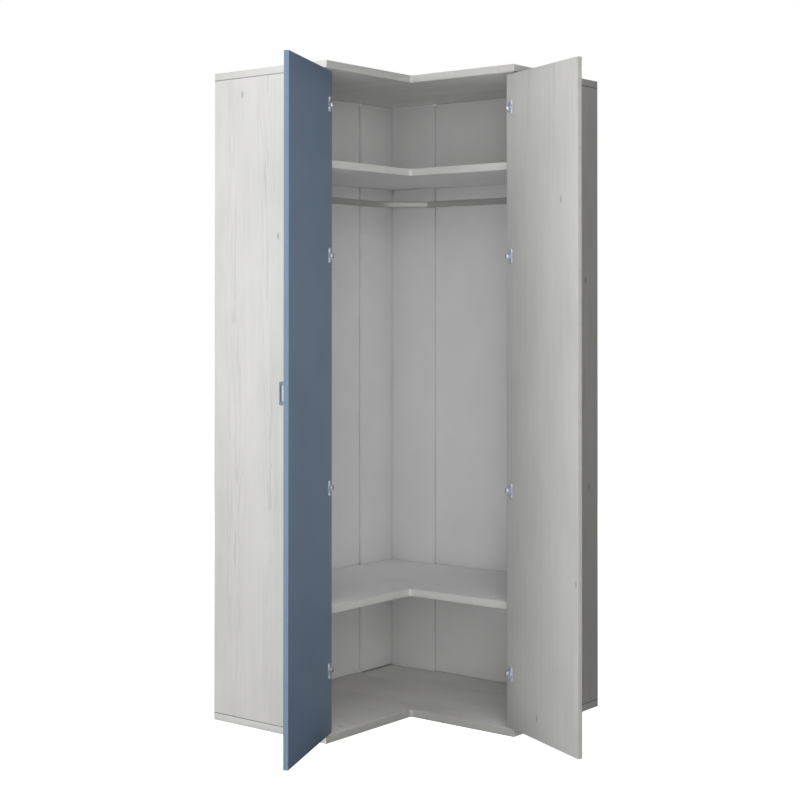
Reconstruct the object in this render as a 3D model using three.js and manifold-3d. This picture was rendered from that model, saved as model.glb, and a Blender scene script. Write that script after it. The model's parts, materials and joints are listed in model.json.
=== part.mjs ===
// Corner wardrobe with two hinged doors, an L-shaped body, two L-shaped shelves and a bent clothes rail.
// Lengths are millimetres, Z is up. The room corner is at x = 0, y = 0 on the floor.
// The left wing stands against the wall x = 0 and runs towards -Y.
// The right wing stands against the wall y = 0 and runs towards +X.
// Both doors are drawn open, as in the photo.

import * as THREE from "three";
import { mergeVertices } from "three/addons/utils/BufferGeometryUtils.js";
import Module from "manifold-3d";

const wasm = await Module();
wasm.setup();

// Driving dimensions of the body.
const HEIGHT = 2200;
const WING_LENGTH = 944;
const BODY_DEPTH = 512;
const BOARD_THICKNESS = 25;
const SIDE_THICKNESS = 18;
const FRONT_SETBACK = 24;
const INNER_CORNER_RADIUS = 10;

// Driving dimensions of the doors. The gaps are those of the closed door.
const DOOR_THICKNESS = 16;
const DOOR_BOTTOM_GAP = 5;
const DOOR_TOP_GAP = 8;
const DOOR_END_GAP = 1.5;
const DOOR_PANEL_GAP = 1.5;
const DOOR_MEETING_GAP = 1;
const DOOR_OPEN_ANGLE = THREE.MathUtils.degToRad(155.2);

// Back of the body.
const BACK_PANEL_THICKNESS = 3;
const CORNER_BOARD_THICKNESS = 16;
const LEFT_CORNER_BOARD_WIDTH = 194;
const RIGHT_CORNER_BOARD_WIDTH = 220;
// Both corner boards stop short of the top. The left one stands clear of the base, the right one on it.
const CORNER_BOARD_GAP = 3;
const LEFT_CORNER_BOARD_LIFT = 3;
const RIGHT_CORNER_BOARD_LIFT = 0;

// Clear heights above the upper shelf and below the lower one.
const TOP_COMPARTMENT_HEIGHT = 293;
const BOTTOM_COMPARTMENT_HEIGHT = 382;

// Clothes rail, hung below the upper shelf along the middle of both wings.
const RAIL_HEIGHT = 22;
const RAIL_WIDTH = 12;
const RAIL_DROP = 72;
const RAIL_BEND_OFFSET = 145;
const RAIL_BEND_RADIUS = 100;
const RAIL_BEND_ANGLE = THREE.MathUtils.degToRad(53.13);
const RAIL_ROUND_STEPS = 6;
const RAIL_BEND_STEPS = 10;
const RAIL_END_PLAY = 1;
const SOCKET_RIM_WIDTH = 8;
const SOCKET_RIM_HEIGHT = 9;
const SOCKET_DEPTH = 12;
const SOCKET_FLOOR = 3;
const SOCKET_PLAY = 0.4;

// Handle: a flat bridge on the outer face of the left door. The right door has none.
const HANDLE_LENGTH = 71;
const HANDLE_REACH = 24;
const HANDLE_STRAP = 5;
const HANDLE_LEG = 12;
const HANDLE_WIDTH = 12;
const HANDLE_BEND_RADIUS = 4;
const HANDLE_INNER_RADIUS = 1;
const HANDLE_HEIGHT_SHARE = 0.5213;
const HANDLE_EDGE_DISTANCE = 36;

// Hinge centres as shares of the door's height above its bottom edge, from the top down.
const LEFT_HINGE_SHARES = [0.9485, 0.7202, 0.3697, 0.0955];
const RIGHT_HINGE_SHARES = [0.949, 0.7206, 0.3613, 0.0814];

// Hinge linkage in plan. Insets run inward from the inner face of the side panel, reaches run forward
// from its front edge. The overlap and the depth place the door's pivot with the door closed.
const ARM_PIVOT_INSET = 15.62;
const ARM_PIVOT_REACH = 5.2;
const DOOR_PIVOT_OVERLAP = 5.69;
const DOOR_PIVOT_DEPTH = 0.67;
const LINK_TURN = THREE.MathUtils.degToRad(64.15);
// Centre line of the link with the door closed, from the arm pivot, as shares of the link's reach.
const LINK_PATH_SHARES = [
  [0, 0], [-0.206, 0.117], [-0.404, 0.23], [-0.591, 0.322], [-0.79, 0.35], [-0.955, 0.335],
  [-1.04, 0.25], [-1.055, 0.115],
];
const LINK_HALF_THICKNESS = 1.3;
// The link is low between the arm's cheeks and taller from its first bend on, where it clears them.
const LINK_HALF_HEIGHT = 5;
const KNUCKLE_FIRST_BEND = 1;
const KNUCKLE_HALF_HEIGHT = 7;
const ARM_EYE_RADIUS = 2.4;
const DOOR_EYE_RADIUS = 1.7;
const EYE_PLAY = 0.2;
const ARM_PIN_RADIUS = 1;
const DOOR_PIN_RADIUS = 0.8;

// Hinge cup, let into the door's inner face. Its centre is inward of the panel's inner face.
const CUP_INSET = 6;
const CUP_RADIUS = 17.3;
const CUP_PLAY = 0.3;
const CUP_WALL = 1.3;
const CUP_DEPTH = 13.7;
const CUP_FLOOR = 0.7;
const CUP_FLOOR_PLAY = 0.2;
const CUP_FLANGE_HEIGHT = 50;
const CUP_FLANGE_BEFORE = 4.5;
const CUP_FLANGE_AFTER = 13.5;
const CUP_FLANGE_THICKNESS = 1.2;
const CUP_FLANGE_ROUND = 6;
const CUP_PIN_BITE = 1;

// Mounting plate on the inner face of the side panel. Setbacks run back from the panel's front edge.
const PLATE_SETBACK = 37;
const PLATE_WIDTH = 20;
const PLATE_HALF_HEIGHT = 26;
const PLATE_THICKNESS = 2.5;
const SPINE_FRONT_SETBACK = 16;
const SPINE_LENGTH = 50;
const SPINE_HALF_HEIGHT = 5.4;
const SPINE_RISE = 11.5;

// Hinge arm: a channel over the plate's spine with two cheeks that hold the arm pin.
const ARM_WEB_THICKNESS = 2;
const CHEEK_GAP = 0.6;
const CHEEK_THICKNESS = 2;
const CHEEK_LIFT = 3;
const ARM_OVERHANG_FRONT = 2;
const ARM_OVERHANG_BACK = 4;
const NOSE_RADIUS = 2.4;
const NOSE_STEPS = 8;

// How far a cutting solid runs past what it cuts.
const OVERRUN = 1;
const WELD_DISTANCE = 1e-5;
const CIRCLE_STEPS = 40;
const SMALL_CIRCLE_STEPS = 16;
const CORNER_STEPS = 6;
const BEND_STEPS = 6;

// Derived positions of the boards and the rail.
const WING_END = WING_LENGTH - SIDE_THICKNESS;
const FRONT_LINE = BODY_DEPTH - FRONT_SETBACK;
const INNER_TOP = HEIGHT - BOARD_THICKNESS;
const UPPER_SHELF_UNDERSIDE = INNER_TOP - TOP_COMPARTMENT_HEIGHT - BOARD_THICKNESS;
const LOWER_SHELF_UNDERSIDE = BOARD_THICKNESS + BOTTOM_COMPARTMENT_HEIGHT;
const RAIL_LINE = BODY_DEPTH / 2;
const RAIL_MIDDLE = UPPER_SHELF_UNDERSIDE - RAIL_DROP - RAIL_HEIGHT / 2;

// Derived sizes of the doors: the closed doors meet at the inner corner, one behind the other's face.
const DOOR_BOTTOM = BOARD_THICKNESS + DOOR_BOTTOM_GAP;
const DOOR_TOP = INNER_TOP - DOOR_TOP_GAP;
const DOOR_HEIGHT = DOOR_TOP - DOOR_BOTTOM;
const DOOR_FACE_LINE = FRONT_LINE + DOOR_PANEL_GAP + DOOR_THICKNESS;
const DOOR_WIDTH = WING_LENGTH - DOOR_FACE_LINE - DOOR_MEETING_GAP - DOOR_END_GAP;
const HANDLE_CENTRE_HEIGHT = DOOR_BOTTOM + DOOR_HEIGHT * HANDLE_HEIGHT_SHARE;

// Derived places of the hinges. In the hinge plan, u runs inward from the outer face of the side panel
// and v runs forward from its front edge. On a door, distances run from its hinge edge.
const OVERLAY = SIDE_THICKNESS - DOOR_END_GAP;
const CLOSED_EDGE = [DOOR_END_GAP, DOOR_PANEL_GAP];
const ARM_PIVOT = [SIDE_THICKNESS + ARM_PIVOT_INSET, ARM_PIVOT_REACH];
const DOOR_PIVOT = [OVERLAY - DOOR_PIVOT_OVERLAP, DOOR_PIVOT_DEPTH];
const LINK_REACH = ARM_PIVOT_INSET + DOOR_PIVOT_OVERLAP;
const CUP_CENTRE = OVERLAY + CUP_INSET;
const SPINE_TOP = SIDE_THICKNESS + SPINE_RISE;
const CHEEK_INNER = SPINE_HALF_HEIGHT + CHEEK_GAP;
const CHEEK_OUTER = CHEEK_INNER + CHEEK_THICKNESS;
const ARM_FRONT = -SPINE_FRONT_SETBACK + ARM_OVERHANG_FRONT;
const ARM_BACK = -SPINE_FRONT_SETBACK - SPINE_LENGTH - ARM_OVERHANG_BACK;

const COLORS = {
  whiteWood: { color: 0xd9d9d4, roughness: 0.62, metalness: 0 },
  blueBoard: { color: 0x6d8196, roughness: 0.55, metalness: 0 },
  backBoard: { color: 0xcfcfca, roughness: 0.7, metalness: 0 },
  nickel: { color: 0xc9cbce, roughness: 0.28, metalness: 1 },
  railMetal: { color: 0x9a9c9e, roughness: 0.32, metalness: 1 },
  handleMetal: { color: 0xb3b5b7, roughness: 0.3, metalness: 1 },
  socketPlastic: { color: 0x8c8e90, roughness: 0.5, metalness: 0 },
};

// A board plan is given as distances along a wall and out from it.
const leftWall = (along, out) => [out, -along];
const rightWall = (along, out) => [along, -out];

// The hinge plan (u, v) of each wing in the room's x and y.
const leftHingePlan = ([u, v]) => [FRONT_LINE + v, u - WING_LENGTH];
const rightHingePlan = ([u, v]) => [WING_LENGTH - u, -FRONT_LINE - v];

/** Turns a plan point about the origin by an angle in radians. */
function turned([x, y], angle) {
  const cosine = Math.cos(angle);
  const sine = Math.sin(angle);
  return [x * cosine - y * sine, x * sine + y * cosine];
}

/** Point in the room for a plan point and a height. */
const raised = ([x, y], height) => new THREE.Vector3(x, y, height);

const added = (a, b) => [a[0] + b[0], a[1] + b[1]];
const taken = (a, b) => [a[0] - b[0], a[1] - b[1]];

// The door pivot with the door closed, then carried by the link to the open position.
const CLOSED_DOOR_PIVOT = added(CLOSED_EDGE, DOOR_PIVOT);
const OPEN_DOOR_PIVOT = added(ARM_PIVOT, turned(taken(CLOSED_DOOR_PIVOT, ARM_PIVOT), -LINK_TURN));
const OPEN_EDGE = taken(OPEN_DOOR_PIVOT, turned(DOOR_PIVOT, DOOR_OPEN_ANGLE));

/** Hinge plan point of a door point: distance from the hinge edge and depth below the inner face. */
const onOpenDoor = (point) => added(OPEN_EDGE, turned(point, DOOR_OPEN_ANGLE));

/** Hinge plan point of a link point measured from the arm pivot with the door closed. */
const onOpenLink = (point) => added(ARM_PIVOT, turned(point, -LINK_TURN));

/** Converts a three.js geometry to a closed solid. */
function solidFrom(geometry) {
  const bare = new THREE.BufferGeometry();
  const flat = geometry.index ? geometry.toNonIndexed() : geometry;
  bare.setAttribute("position", flat.getAttribute("position").clone());
  const welded = mergeVertices(bare, WELD_DISTANCE);
  return new wasm.Manifold(new wasm.Mesh({
    numProp: 3,
    vertProperties: new Float32Array(welded.getAttribute("position").array),
    triVerts: new Uint32Array(welded.index.array),
  }));
}

/** Converts a solid back to a three.js geometry with flat faces. */
function geometryFrom(solid) {
  const mesh = solid.getMesh();
  const geometry = new THREE.BufferGeometry();
  geometry.setAttribute("position", new THREE.BufferAttribute(new Float32Array(mesh.vertProperties), 3));
  geometry.setIndex(new THREE.BufferAttribute(new Uint32Array(mesh.triVerts), 1));
  const faceted = geometry.toNonIndexed();
  faceted.computeVertexNormals();
  return faceted;
}

/** Joins geometries that overlap into one solid geometry. */
function joined(geometries) {
  return geometryFrom(geometries.map(solidFrom).reduce((whole, piece) => whole.add(piece)));
}

/** Cuts the tools out of a geometry. */
function cut(geometry, tools) {
  const left = tools.map(solidFrom).reduce((whole, tool) => whole.subtract(tool), solidFrom(geometry));
  return geometryFrom(left);
}

/** Upright prism over a plan outline, from one height to another. */
function prism(outline, bottom, top) {
  const shape = new THREE.Shape(outline.map(([x, y]) => new THREE.Vector2(x, y)));
  const geometry = new THREE.ExtrudeGeometry(shape, { depth: top - bottom, bevelEnabled: false, steps: 1 });
  return geometry.translate(0, 0, bottom);
}

/** Outline centred on its own plane, thickened equally to both sides and set on two axes. */
function plate(shape, thickness, centre, firstAxis, secondAxis) {
  const settings = { depth: thickness, bevelEnabled: false, curveSegments: BEND_STEPS };
  const geometry = new THREE.ExtrudeGeometry(shape, settings);
  geometry.translate(0, 0, -thickness / 2);
  const normal = new THREE.Vector3().crossVectors(firstAxis, secondAxis);
  const basis = new THREE.Matrix4().makeBasis(firstAxis, secondAxis, normal).setPosition(centre);
  return geometry.applyMatrix4(basis);
}

/** Round rod between two points. */
function rod(from, to, radius, steps) {
  const direction = new THREE.Vector3().subVectors(to, from);
  const geometry = new THREE.CylinderGeometry(radius, radius, direction.length(), steps);
  const upright = new THREE.Vector3(0, 1, 0);
  geometry.applyQuaternion(new THREE.Quaternion().setFromUnitVectors(upright, direction.clone().normalize()));
  return geometry.translate((from.x + to.x) / 2, (from.y + to.y) / 2, (from.z + to.z) / 2);
}

/** Plan points of a circle. */
function circle(centre, radius, steps) {
  return Array.from({ length: steps }, (_, index) => {
    const angle = (index / steps) * 2 * Math.PI;
    return [centre[0] + radius * Math.cos(angle), centre[1] + radius * Math.sin(angle)];
  });
}

/** Points of the rounded inner corner where the two fronts meet, from the left wing to the right wing. */
function innerCorner(frontLine, radius) {
  return Array.from({ length: CORNER_STEPS + 1 }, (_, index) => {
    const angle = (index / CORNER_STEPS) * (Math.PI / 2);
    const reach = frontLine + radius;
    return [reach - radius * Math.cos(angle), -reach + radius * Math.sin(angle)];
  });
}

/** L-shaped outline with a plain outer corner, for the top and the base. */
function capOutline() {
  return [
    leftWall(0, 0),
    leftWall(WING_LENGTH, 0),
    leftWall(WING_LENGTH, BODY_DEPTH),
    ...innerCorner(BODY_DEPTH, INNER_CORNER_RADIUS),
    rightWall(WING_LENGTH, BODY_DEPTH),
    rightWall(WING_LENGTH, 0),
  ];
}

/** L-shaped outline of a shelf, stepped round the corner boards. */
function shelfOutline() {
  return [
    leftWall(WING_END, BACK_PANEL_THICKNESS),
    leftWall(WING_END, FRONT_LINE),
    ...innerCorner(FRONT_LINE, INNER_CORNER_RADIUS),
    rightWall(WING_END, FRONT_LINE),
    rightWall(WING_END, BACK_PANEL_THICKNESS),
    rightWall(RIGHT_CORNER_BOARD_WIDTH, BACK_PANEL_THICKNESS),
    rightWall(RIGHT_CORNER_BOARD_WIDTH, CORNER_BOARD_THICKNESS),
    leftWall(CORNER_BOARD_THICKNESS, CORNER_BOARD_THICKNESS),
    leftWall(LEFT_CORNER_BOARD_WIDTH, CORNER_BOARD_THICKNESS),
    leftWall(LEFT_CORNER_BOARD_WIDTH, BACK_PANEL_THICKNESS),
  ];
}

/** Rectangle on one wall's plan, from two distances along and two distances out. */
function wallRectangle(wall, alongFrom, alongTo, outFrom, outTo) {
  return [wall(alongFrom, outFrom), wall(alongTo, outFrom), wall(alongTo, outTo), wall(alongFrom, outTo)];
}

function sidePanel(wall) {
  return prism(wallRectangle(wall, WING_END, WING_LENGTH, 0, FRONT_LINE), BOARD_THICKNESS, INNER_TOP);
}

function backPanel(wall, cornerBoardWidth) {
  return prism(
    wallRectangle(wall, cornerBoardWidth, WING_END, 0, BACK_PANEL_THICKNESS), BOARD_THICKNESS, INNER_TOP,
  );
}

function cornerBoard(wall, start, width, lift) {
  const outline = wallRectangle(wall, start, width, 0, CORNER_BOARD_THICKNESS);
  return prism(outline, BOARD_THICKNESS + lift, INNER_TOP - CORNER_BOARD_GAP);
}

/** Centre line of the whole rail in plan, as distances from the room corner along both walls. */
function railCentreLine() {
  const arc = Array.from({ length: RAIL_BEND_STEPS + 1 }, (_, index) => {
    const angle = (index / RAIL_BEND_STEPS) * RAIL_BEND_ANGLE;
    return leftWall(
      RAIL_LINE + RAIL_BEND_OFFSET - RAIL_BEND_RADIUS * Math.sin(angle),
      RAIL_LINE + RAIL_BEND_RADIUS * (1 - Math.cos(angle)),
    );
  });
  const last = arc[arc.length - 1];
  const run = (last[1] + RAIL_LINE) / -Math.cos(RAIL_BEND_ANGLE);
  const junction = [last[0] + run * Math.sin(RAIL_BEND_ANGLE), -RAIL_LINE];
  const end = WING_END - SOCKET_FLOOR - RAIL_END_PLAY;
  return { bent: [leftWall(end, RAIL_LINE), ...arc, junction], junction, end: rightWall(end, RAIL_LINE) };
}

/** Cross-section of the rail: flat sides with a rounded top and bottom, as offset and height pairs. */
function railSection(grow) {
  const half = RAIL_WIDTH / 2 + grow;
  const straight = (RAIL_HEIGHT - RAIL_WIDTH) / 2;
  const cap = (sign) => Array.from({ length: RAIL_ROUND_STEPS + 1 }, (_, index) => {
    const angle = (index / RAIL_ROUND_STEPS) * Math.PI;
    return [sign * half * Math.cos(angle), sign * (straight + half * Math.sin(angle))];
  });
  return [...cap(1), ...cap(-1)];
}

/** Direction in plan from one point to another. */
const heading = (from, to) => new THREE.Vector2(...taken(to, from)).normalize();

/** Sweeps the rail's section along a level line and cuts its last end on the mitre direction. */
function railAlong(points, lastMitre) {
  const section = railSection(0);
  const last = points.length - 1;
  const rings = points.map((point, index) => {
    const inward = index ? heading(points[index - 1], point) : heading(point, points[1]);
    const outward = index < last ? heading(point, points[index + 1]) : inward;
    const mean = index < last ? inward.clone().add(outward).normalize() : lastMitre;
    const stretch = 1 / mean.dot(inward);
    return section.map(([offset, rise]) => [
      point[0] - mean.y * offset * stretch, point[1] + mean.x * offset * stretch, RAIL_MIDDLE + rise,
    ]);
  });
  return tubeFromRings(rings);
}

/** Closed solid skin over a row of rings with equal point counts. */
function tubeFromRings(rings) {
  const count = rings[0].length;
  const indices = [];
  for (let ring = 0; ring < rings.length - 1; ring += 1) {
    for (let side = 0; side < count; side += 1) {
      const next = (side + 1) % count;
      const a = ring * count + side;
      const b = ring * count + next;
      indices.push(a, b, b + count, a, b + count, a + count);
    }
  }
  const lastRing = (rings.length - 1) * count;
  for (let side = 1; side < count - 1; side += 1) {
    indices.push(0, side + 1, side);
    indices.push(lastRing, lastRing + side, lastRing + side + 1);
  }
  const geometry = new THREE.BufferGeometry();
  geometry.setAttribute("position", new THREE.Float32BufferAttribute(rings.flat(2), 3));
  geometry.setIndex(indices);
  return geometryFrom(solidFrom(geometry));
}

/** Direction halfway between the two lengths of rail where they meet. */
function railMitre(line) {
  const arriving = heading(line.bent[line.bent.length - 2], line.junction);
  return arriving.add(heading(line.junction, line.end)).normalize();
}

function bentRail() {
  const line = railCentreLine();
  return railAlong(line.bent, railMitre(line));
}

function straightRail() {
  const line = railCentreLine();
  return railAlong([line.end, line.junction], railMitre(line).negate());
}

/** Oval cup on a side panel that the rail's end sits in. */
function railSocket(wall) {
  const origin = wall(WING_END - SOCKET_DEPTH / 2, RAIL_LINE);
  const across = wall(0, 1);
  const centre = raised(origin, RAIL_MIDDLE);
  const sideways = new THREE.Vector3(across[0], across[1], 0);
  const up = new THREE.Vector3(0, 0, 1);
  const stretch = SOCKET_RIM_HEIGHT - SOCKET_RIM_WIDTH;
  const outer = railSection(SOCKET_RIM_WIDTH)
    .map(([offset, rise]) => new THREE.Vector2(offset, rise + Math.sign(rise) * stretch));
  const pocket = railSection(SOCKET_PLAY).map(([offset, rise]) => new THREE.Vector2(offset, rise));
  const body = plate(new THREE.Shape(outer), SOCKET_DEPTH, centre, sideways, up);
  const shift = wall(-SOCKET_FLOOR, 0);
  const pocketCentre = centre.clone().add(new THREE.Vector3(shift[0], shift[1], 0));
  return cut(body, [plate(new THREE.Shape(pocket), SOCKET_DEPTH, pocketCentre, sideways, up)]);
}

/** Open door slab with its four cup bores. */
function door(plan, hingeHeights) {
  const corners = [[0, 0], [DOOR_WIDTH, 0], [DOOR_WIDTH, DOOR_THICKNESS], [0, DOOR_THICKNESS]];
  const slab = prism(corners.map((corner) => plan(onOpenDoor(corner))), DOOR_BOTTOM, DOOR_TOP);
  const bores = hingeHeights.map((height) => rod(
    raised(plan(onOpenDoor([CUP_CENTRE, -OVERRUN])), height),
    raised(plan(onOpenDoor([CUP_CENTRE, CUP_DEPTH + CUP_FLOOR_PLAY])), height),
    CUP_RADIUS + CUP_PLAY, CIRCLE_STEPS,
  ));
  return cut(slab, bores);
}

/** Rounded rectangle centred on the origin. */
function roundedRectangle(width, height, radius) {
  const shape = new THREE.Shape();
  const x = width / 2;
  const y = height / 2;
  shape.moveTo(-x + radius, -y);
  shape.lineTo(x - radius, -y);
  shape.absarc(x - radius, -y + radius, radius, -Math.PI / 2, 0, false);
  shape.lineTo(x, y - radius);
  shape.absarc(x - radius, y - radius, radius, 0, Math.PI / 2, false);
  shape.lineTo(-x + radius, y);
  shape.absarc(-x + radius, y - radius, radius, Math.PI / 2, Math.PI, false);
  shape.lineTo(-x, -y + radius);
  shape.absarc(-x + radius, -y + radius, radius, Math.PI, Math.PI * 1.5, false);
  return shape;
}

/** Unit vectors of an open door: along it from the hinge edge, and out of its outer face. */
function doorAxes(plan) {
  const origin = plan(onOpenDoor([0, 0]));
  const along = taken(plan(onOpenDoor([1, 0])), origin);
  const outward = taken(plan(onOpenDoor([0, 1])), origin);
  return {
    along: new THREE.Vector3(along[0], along[1], 0),
    outward: new THREE.Vector3(outward[0], outward[1], 0),
    up: new THREE.Vector3(0, 0, 1),
  };
}

/** Bridge handle standing on the door's outer face near its free edge. */
function handle(plan) {
  const { outward, up } = doorAxes(plan);
  const half = HANDLE_LENGTH / 2;
  const round = HANDLE_BEND_RADIUS;
  const inner = HANDLE_REACH - HANDLE_STRAP;
  const innerHalf = half - HANDLE_LEG;
  const innerRound = HANDLE_INNER_RADIUS;
  const shape = new THREE.Shape();
  shape.moveTo(0, -half);
  shape.lineTo(HANDLE_REACH - round, -half);
  shape.absarc(HANDLE_REACH - round, -half + round, round, -Math.PI / 2, 0, false);
  shape.lineTo(HANDLE_REACH, half - round);
  shape.absarc(HANDLE_REACH - round, half - round, round, 0, Math.PI / 2, false);
  shape.lineTo(0, half);
  shape.lineTo(0, innerHalf);
  shape.lineTo(inner - innerRound, innerHalf);
  shape.absarc(inner - innerRound, innerHalf - innerRound, innerRound, Math.PI / 2, 0, true);
  shape.lineTo(inner, -innerHalf + innerRound);
  shape.absarc(inner - innerRound, -innerHalf + innerRound, innerRound, 0, -Math.PI / 2, true);
  shape.lineTo(0, -innerHalf);
  const foot = plan(onOpenDoor([DOOR_WIDTH - HANDLE_EDGE_DISTANCE, DOOR_THICKNESS]));
  return plate(shape, HANDLE_WIDTH, raised(foot, HANDLE_CENTRE_HEIGHT), outward, up);
}

/** Plate screwed to the side panel, with the spine that the arm rides on. */
function hingePlate(plan, height) {
  const base = SIDE_THICKNESS;
  const rectangle = (top, back, front) => [[base, back], [top, back], [top, front], [base, front]].map(plan);
  const wingsBack = -PLATE_SETBACK - PLATE_WIDTH / 2;
  const wings = rectangle(base + PLATE_THICKNESS, wingsBack, wingsBack + PLATE_WIDTH);
  const spine = rectangle(SPINE_TOP, -SPINE_FRONT_SETBACK - SPINE_LENGTH, -SPINE_FRONT_SETBACK);
  return joined([
    prism(wings, height - PLATE_HALF_HEIGHT, height + PLATE_HALF_HEIGHT),
    prism(spine, height - SPINE_HALF_HEIGHT, height + SPINE_HALF_HEIGHT),
  ]);
}

/** Side view of a cheek of the arm, with a round nose about the arm pivot. */
function cheekOutline() {
  const webTop = SPINE_TOP + ARM_WEB_THICKNESS;
  const nose = Array.from({ length: NOSE_STEPS + 1 }, (_, index) => {
    const angle = Math.PI - (index / NOSE_STEPS) * Math.PI;
    return added(ARM_PIVOT, [NOSE_RADIUS * Math.cos(angle), NOSE_RADIUS * Math.sin(angle)]);
  });
  return [
    [SIDE_THICKNESS + CHEEK_LIFT, ARM_BACK],
    [SIDE_THICKNESS + CHEEK_LIFT, ARM_FRONT],
    [ARM_PIVOT[0] - NOSE_RADIUS * 2, 0],
    ...nose,
    [ARM_PIVOT[0] + NOSE_RADIUS, -NOSE_RADIUS * 2],
    [webTop, ARM_FRONT],
    [webTop, ARM_BACK],
  ];
}

/** Arm of a hinge: a web over the spine, two cheeks, and the pin that the link turns on. */
function hingeArm(plan, height) {
  const cheek = cheekOutline().map(plan);
  const webTop = SPINE_TOP + ARM_WEB_THICKNESS;
  const web = [
    [SPINE_TOP, ARM_BACK], [webTop, ARM_BACK], [webTop, ARM_FRONT], [SPINE_TOP, ARM_FRONT],
  ].map(plan);
  const pin = circle(ARM_PIVOT, ARM_PIN_RADIUS, SMALL_CIRCLE_STEPS).map(plan);
  return joined([
    prism(web, height - CHEEK_OUTER, height + CHEEK_OUTER),
    prism(cheek, height + CHEEK_INNER, height + CHEEK_OUTER),
    prism(cheek, height - CHEEK_OUTER, height - CHEEK_INNER),
    prism(pin, height - CHEEK_OUTER, height + CHEEK_OUTER),
  ]);
}

/** Curved strip of even thickness along a plan path. */
function strip(path, halfThickness) {
  const offset = (sign) => path.map((point, index) => {
    const before = path[Math.max(index - 1, 0)];
    const after = path[Math.min(index + 1, path.length - 1)];
    const [x, y] = taken(after, before);
    const length = Math.hypot(x, y);
    return [point[0] - (sign * halfThickness * y) / length, point[1] + (sign * halfThickness * x) / length];
  });
  return [...offset(1), ...offset(-1).reverse()];
}

/** Link of a hinge: a strip bent round the door's edge, with an eye at each end. */
function hingeLink(plan, height) {
  const doorEye = taken(CLOSED_DOOR_PIVOT, ARM_PIVOT);
  const bends = LINK_PATH_SHARES.map(([inShare, outShare]) => [inShare * LINK_REACH, outShare * LINK_REACH]);
  const path = [...bends, doorEye].map(onOpenLink);
  const knuckle = path.slice(KNUCKLE_FIRST_BEND);
  const upright = (outline, half) => prism(outline.map(plan), height - half, height + half);
  const disc = (centre, radius, half) => upright(circle(centre, radius, SMALL_CIRCLE_STEPS), half);
  const hole = (centre, radius) => disc(centre, radius, KNUCKLE_HALF_HEIGHT + OVERRUN);
  const body = joined([
    upright(strip(path, LINK_HALF_THICKNESS), LINK_HALF_HEIGHT),
    upright(strip(knuckle, LINK_HALF_THICKNESS), KNUCKLE_HALF_HEIGHT),
    disc(ARM_PIVOT, ARM_EYE_RADIUS, LINK_HALF_HEIGHT),
    disc(OPEN_DOOR_PIVOT, DOOR_EYE_RADIUS, KNUCKLE_HALF_HEIGHT),
  ]);
  return cut(body, [
    hole(ARM_PIVOT, ARM_PIN_RADIUS + EYE_PLAY),
    hole(OPEN_DOOR_PIVOT, DOOR_PIN_RADIUS + EYE_PLAY),
  ]);
}

/** Cup of a hinge in its bore, with a flange on the door and the pin that the link turns on. */
function hingeCup(plan, height) {
  const at = (depth) => raised(plan(onOpenDoor([CUP_CENTRE, depth])), height);
  const { along, up } = doorAxes(plan);
  const flangeLine = CUP_CENTRE + (CUP_FLANGE_AFTER - CUP_FLANGE_BEFORE) / 2;
  const flangeMiddle = plan(onOpenDoor([flangeLine, -CUP_FLANGE_THICKNESS / 2]));
  const flangeWidth = CUP_FLANGE_BEFORE + CUP_FLANGE_AFTER;
  const flangeShape = roundedRectangle(flangeWidth, CUP_FLANGE_HEIGHT, CUP_FLANGE_ROUND);
  const flange = plate(flangeShape, CUP_FLANGE_THICKNESS, raised(flangeMiddle, height), along, up);
  const shell = joined([rod(at(-CUP_FLANGE_THICKNESS / 2), at(CUP_DEPTH), CUP_RADIUS, CIRCLE_STEPS), flange]);
  const innerRadius = CUP_RADIUS - CUP_WALL;
  const hollow = rod(at(-CUP_DEPTH), at(CUP_DEPTH - CUP_FLOOR), innerRadius, CIRCLE_STEPS);
  const notch = prism(
    [[-CUP_CENTRE, -CUP_DEPTH], [CUP_CENTRE, -CUP_DEPTH], [CUP_CENTRE, 0], [-CUP_CENTRE, 0]]
      .map((point) => plan(onOpenDoor(point))),
    height - CHEEK_OUTER, height + CHEEK_OUTER,
  );
  const pinHalf = Math.sqrt(innerRadius ** 2 - (CUP_CENTRE - DOOR_PIVOT[0]) ** 2) + CUP_PIN_BITE;
  const pinOutline = circle(OPEN_DOOR_PIVOT, DOOR_PIN_RADIUS, SMALL_CIRCLE_STEPS).map(plan);
  const pin = prism(pinOutline, height - pinHalf, height + pinHalf);
  return joined([cut(shell, [hollow, notch]), pin]);
}

const wardrobe = new THREE.Group();

/** Adds one named sub-part with its own material. */
function addPart(name, geometry, finish) {
  const mesh = new THREE.Mesh(geometry, new THREE.MeshStandardMaterial(finish));
  mesh.name = name;
  wardrobe.add(mesh);
}

/** Adds the door and its four hinges on one wing. */
function addDoor(side, plan, finish, hingeShares) {
  const hingeHeights = hingeShares.map((share) => DOOR_BOTTOM + DOOR_HEIGHT * share);
  addPart(`${side}_door`, door(plan, hingeHeights), finish);
  hingeHeights.forEach((height, index) => {
    const number = index + 1;
    addPart(`${side}_hinge_plate_${number}`, hingePlate(plan, height), COLORS.nickel);
    addPart(`${side}_hinge_arm_${number}`, hingeArm(plan, height), COLORS.nickel);
    addPart(`${side}_hinge_link_${number}`, hingeLink(plan, height), COLORS.nickel);
    addPart(`${side}_hinge_cup_${number}`, hingeCup(plan, height), COLORS.nickel);
  });
}

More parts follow.
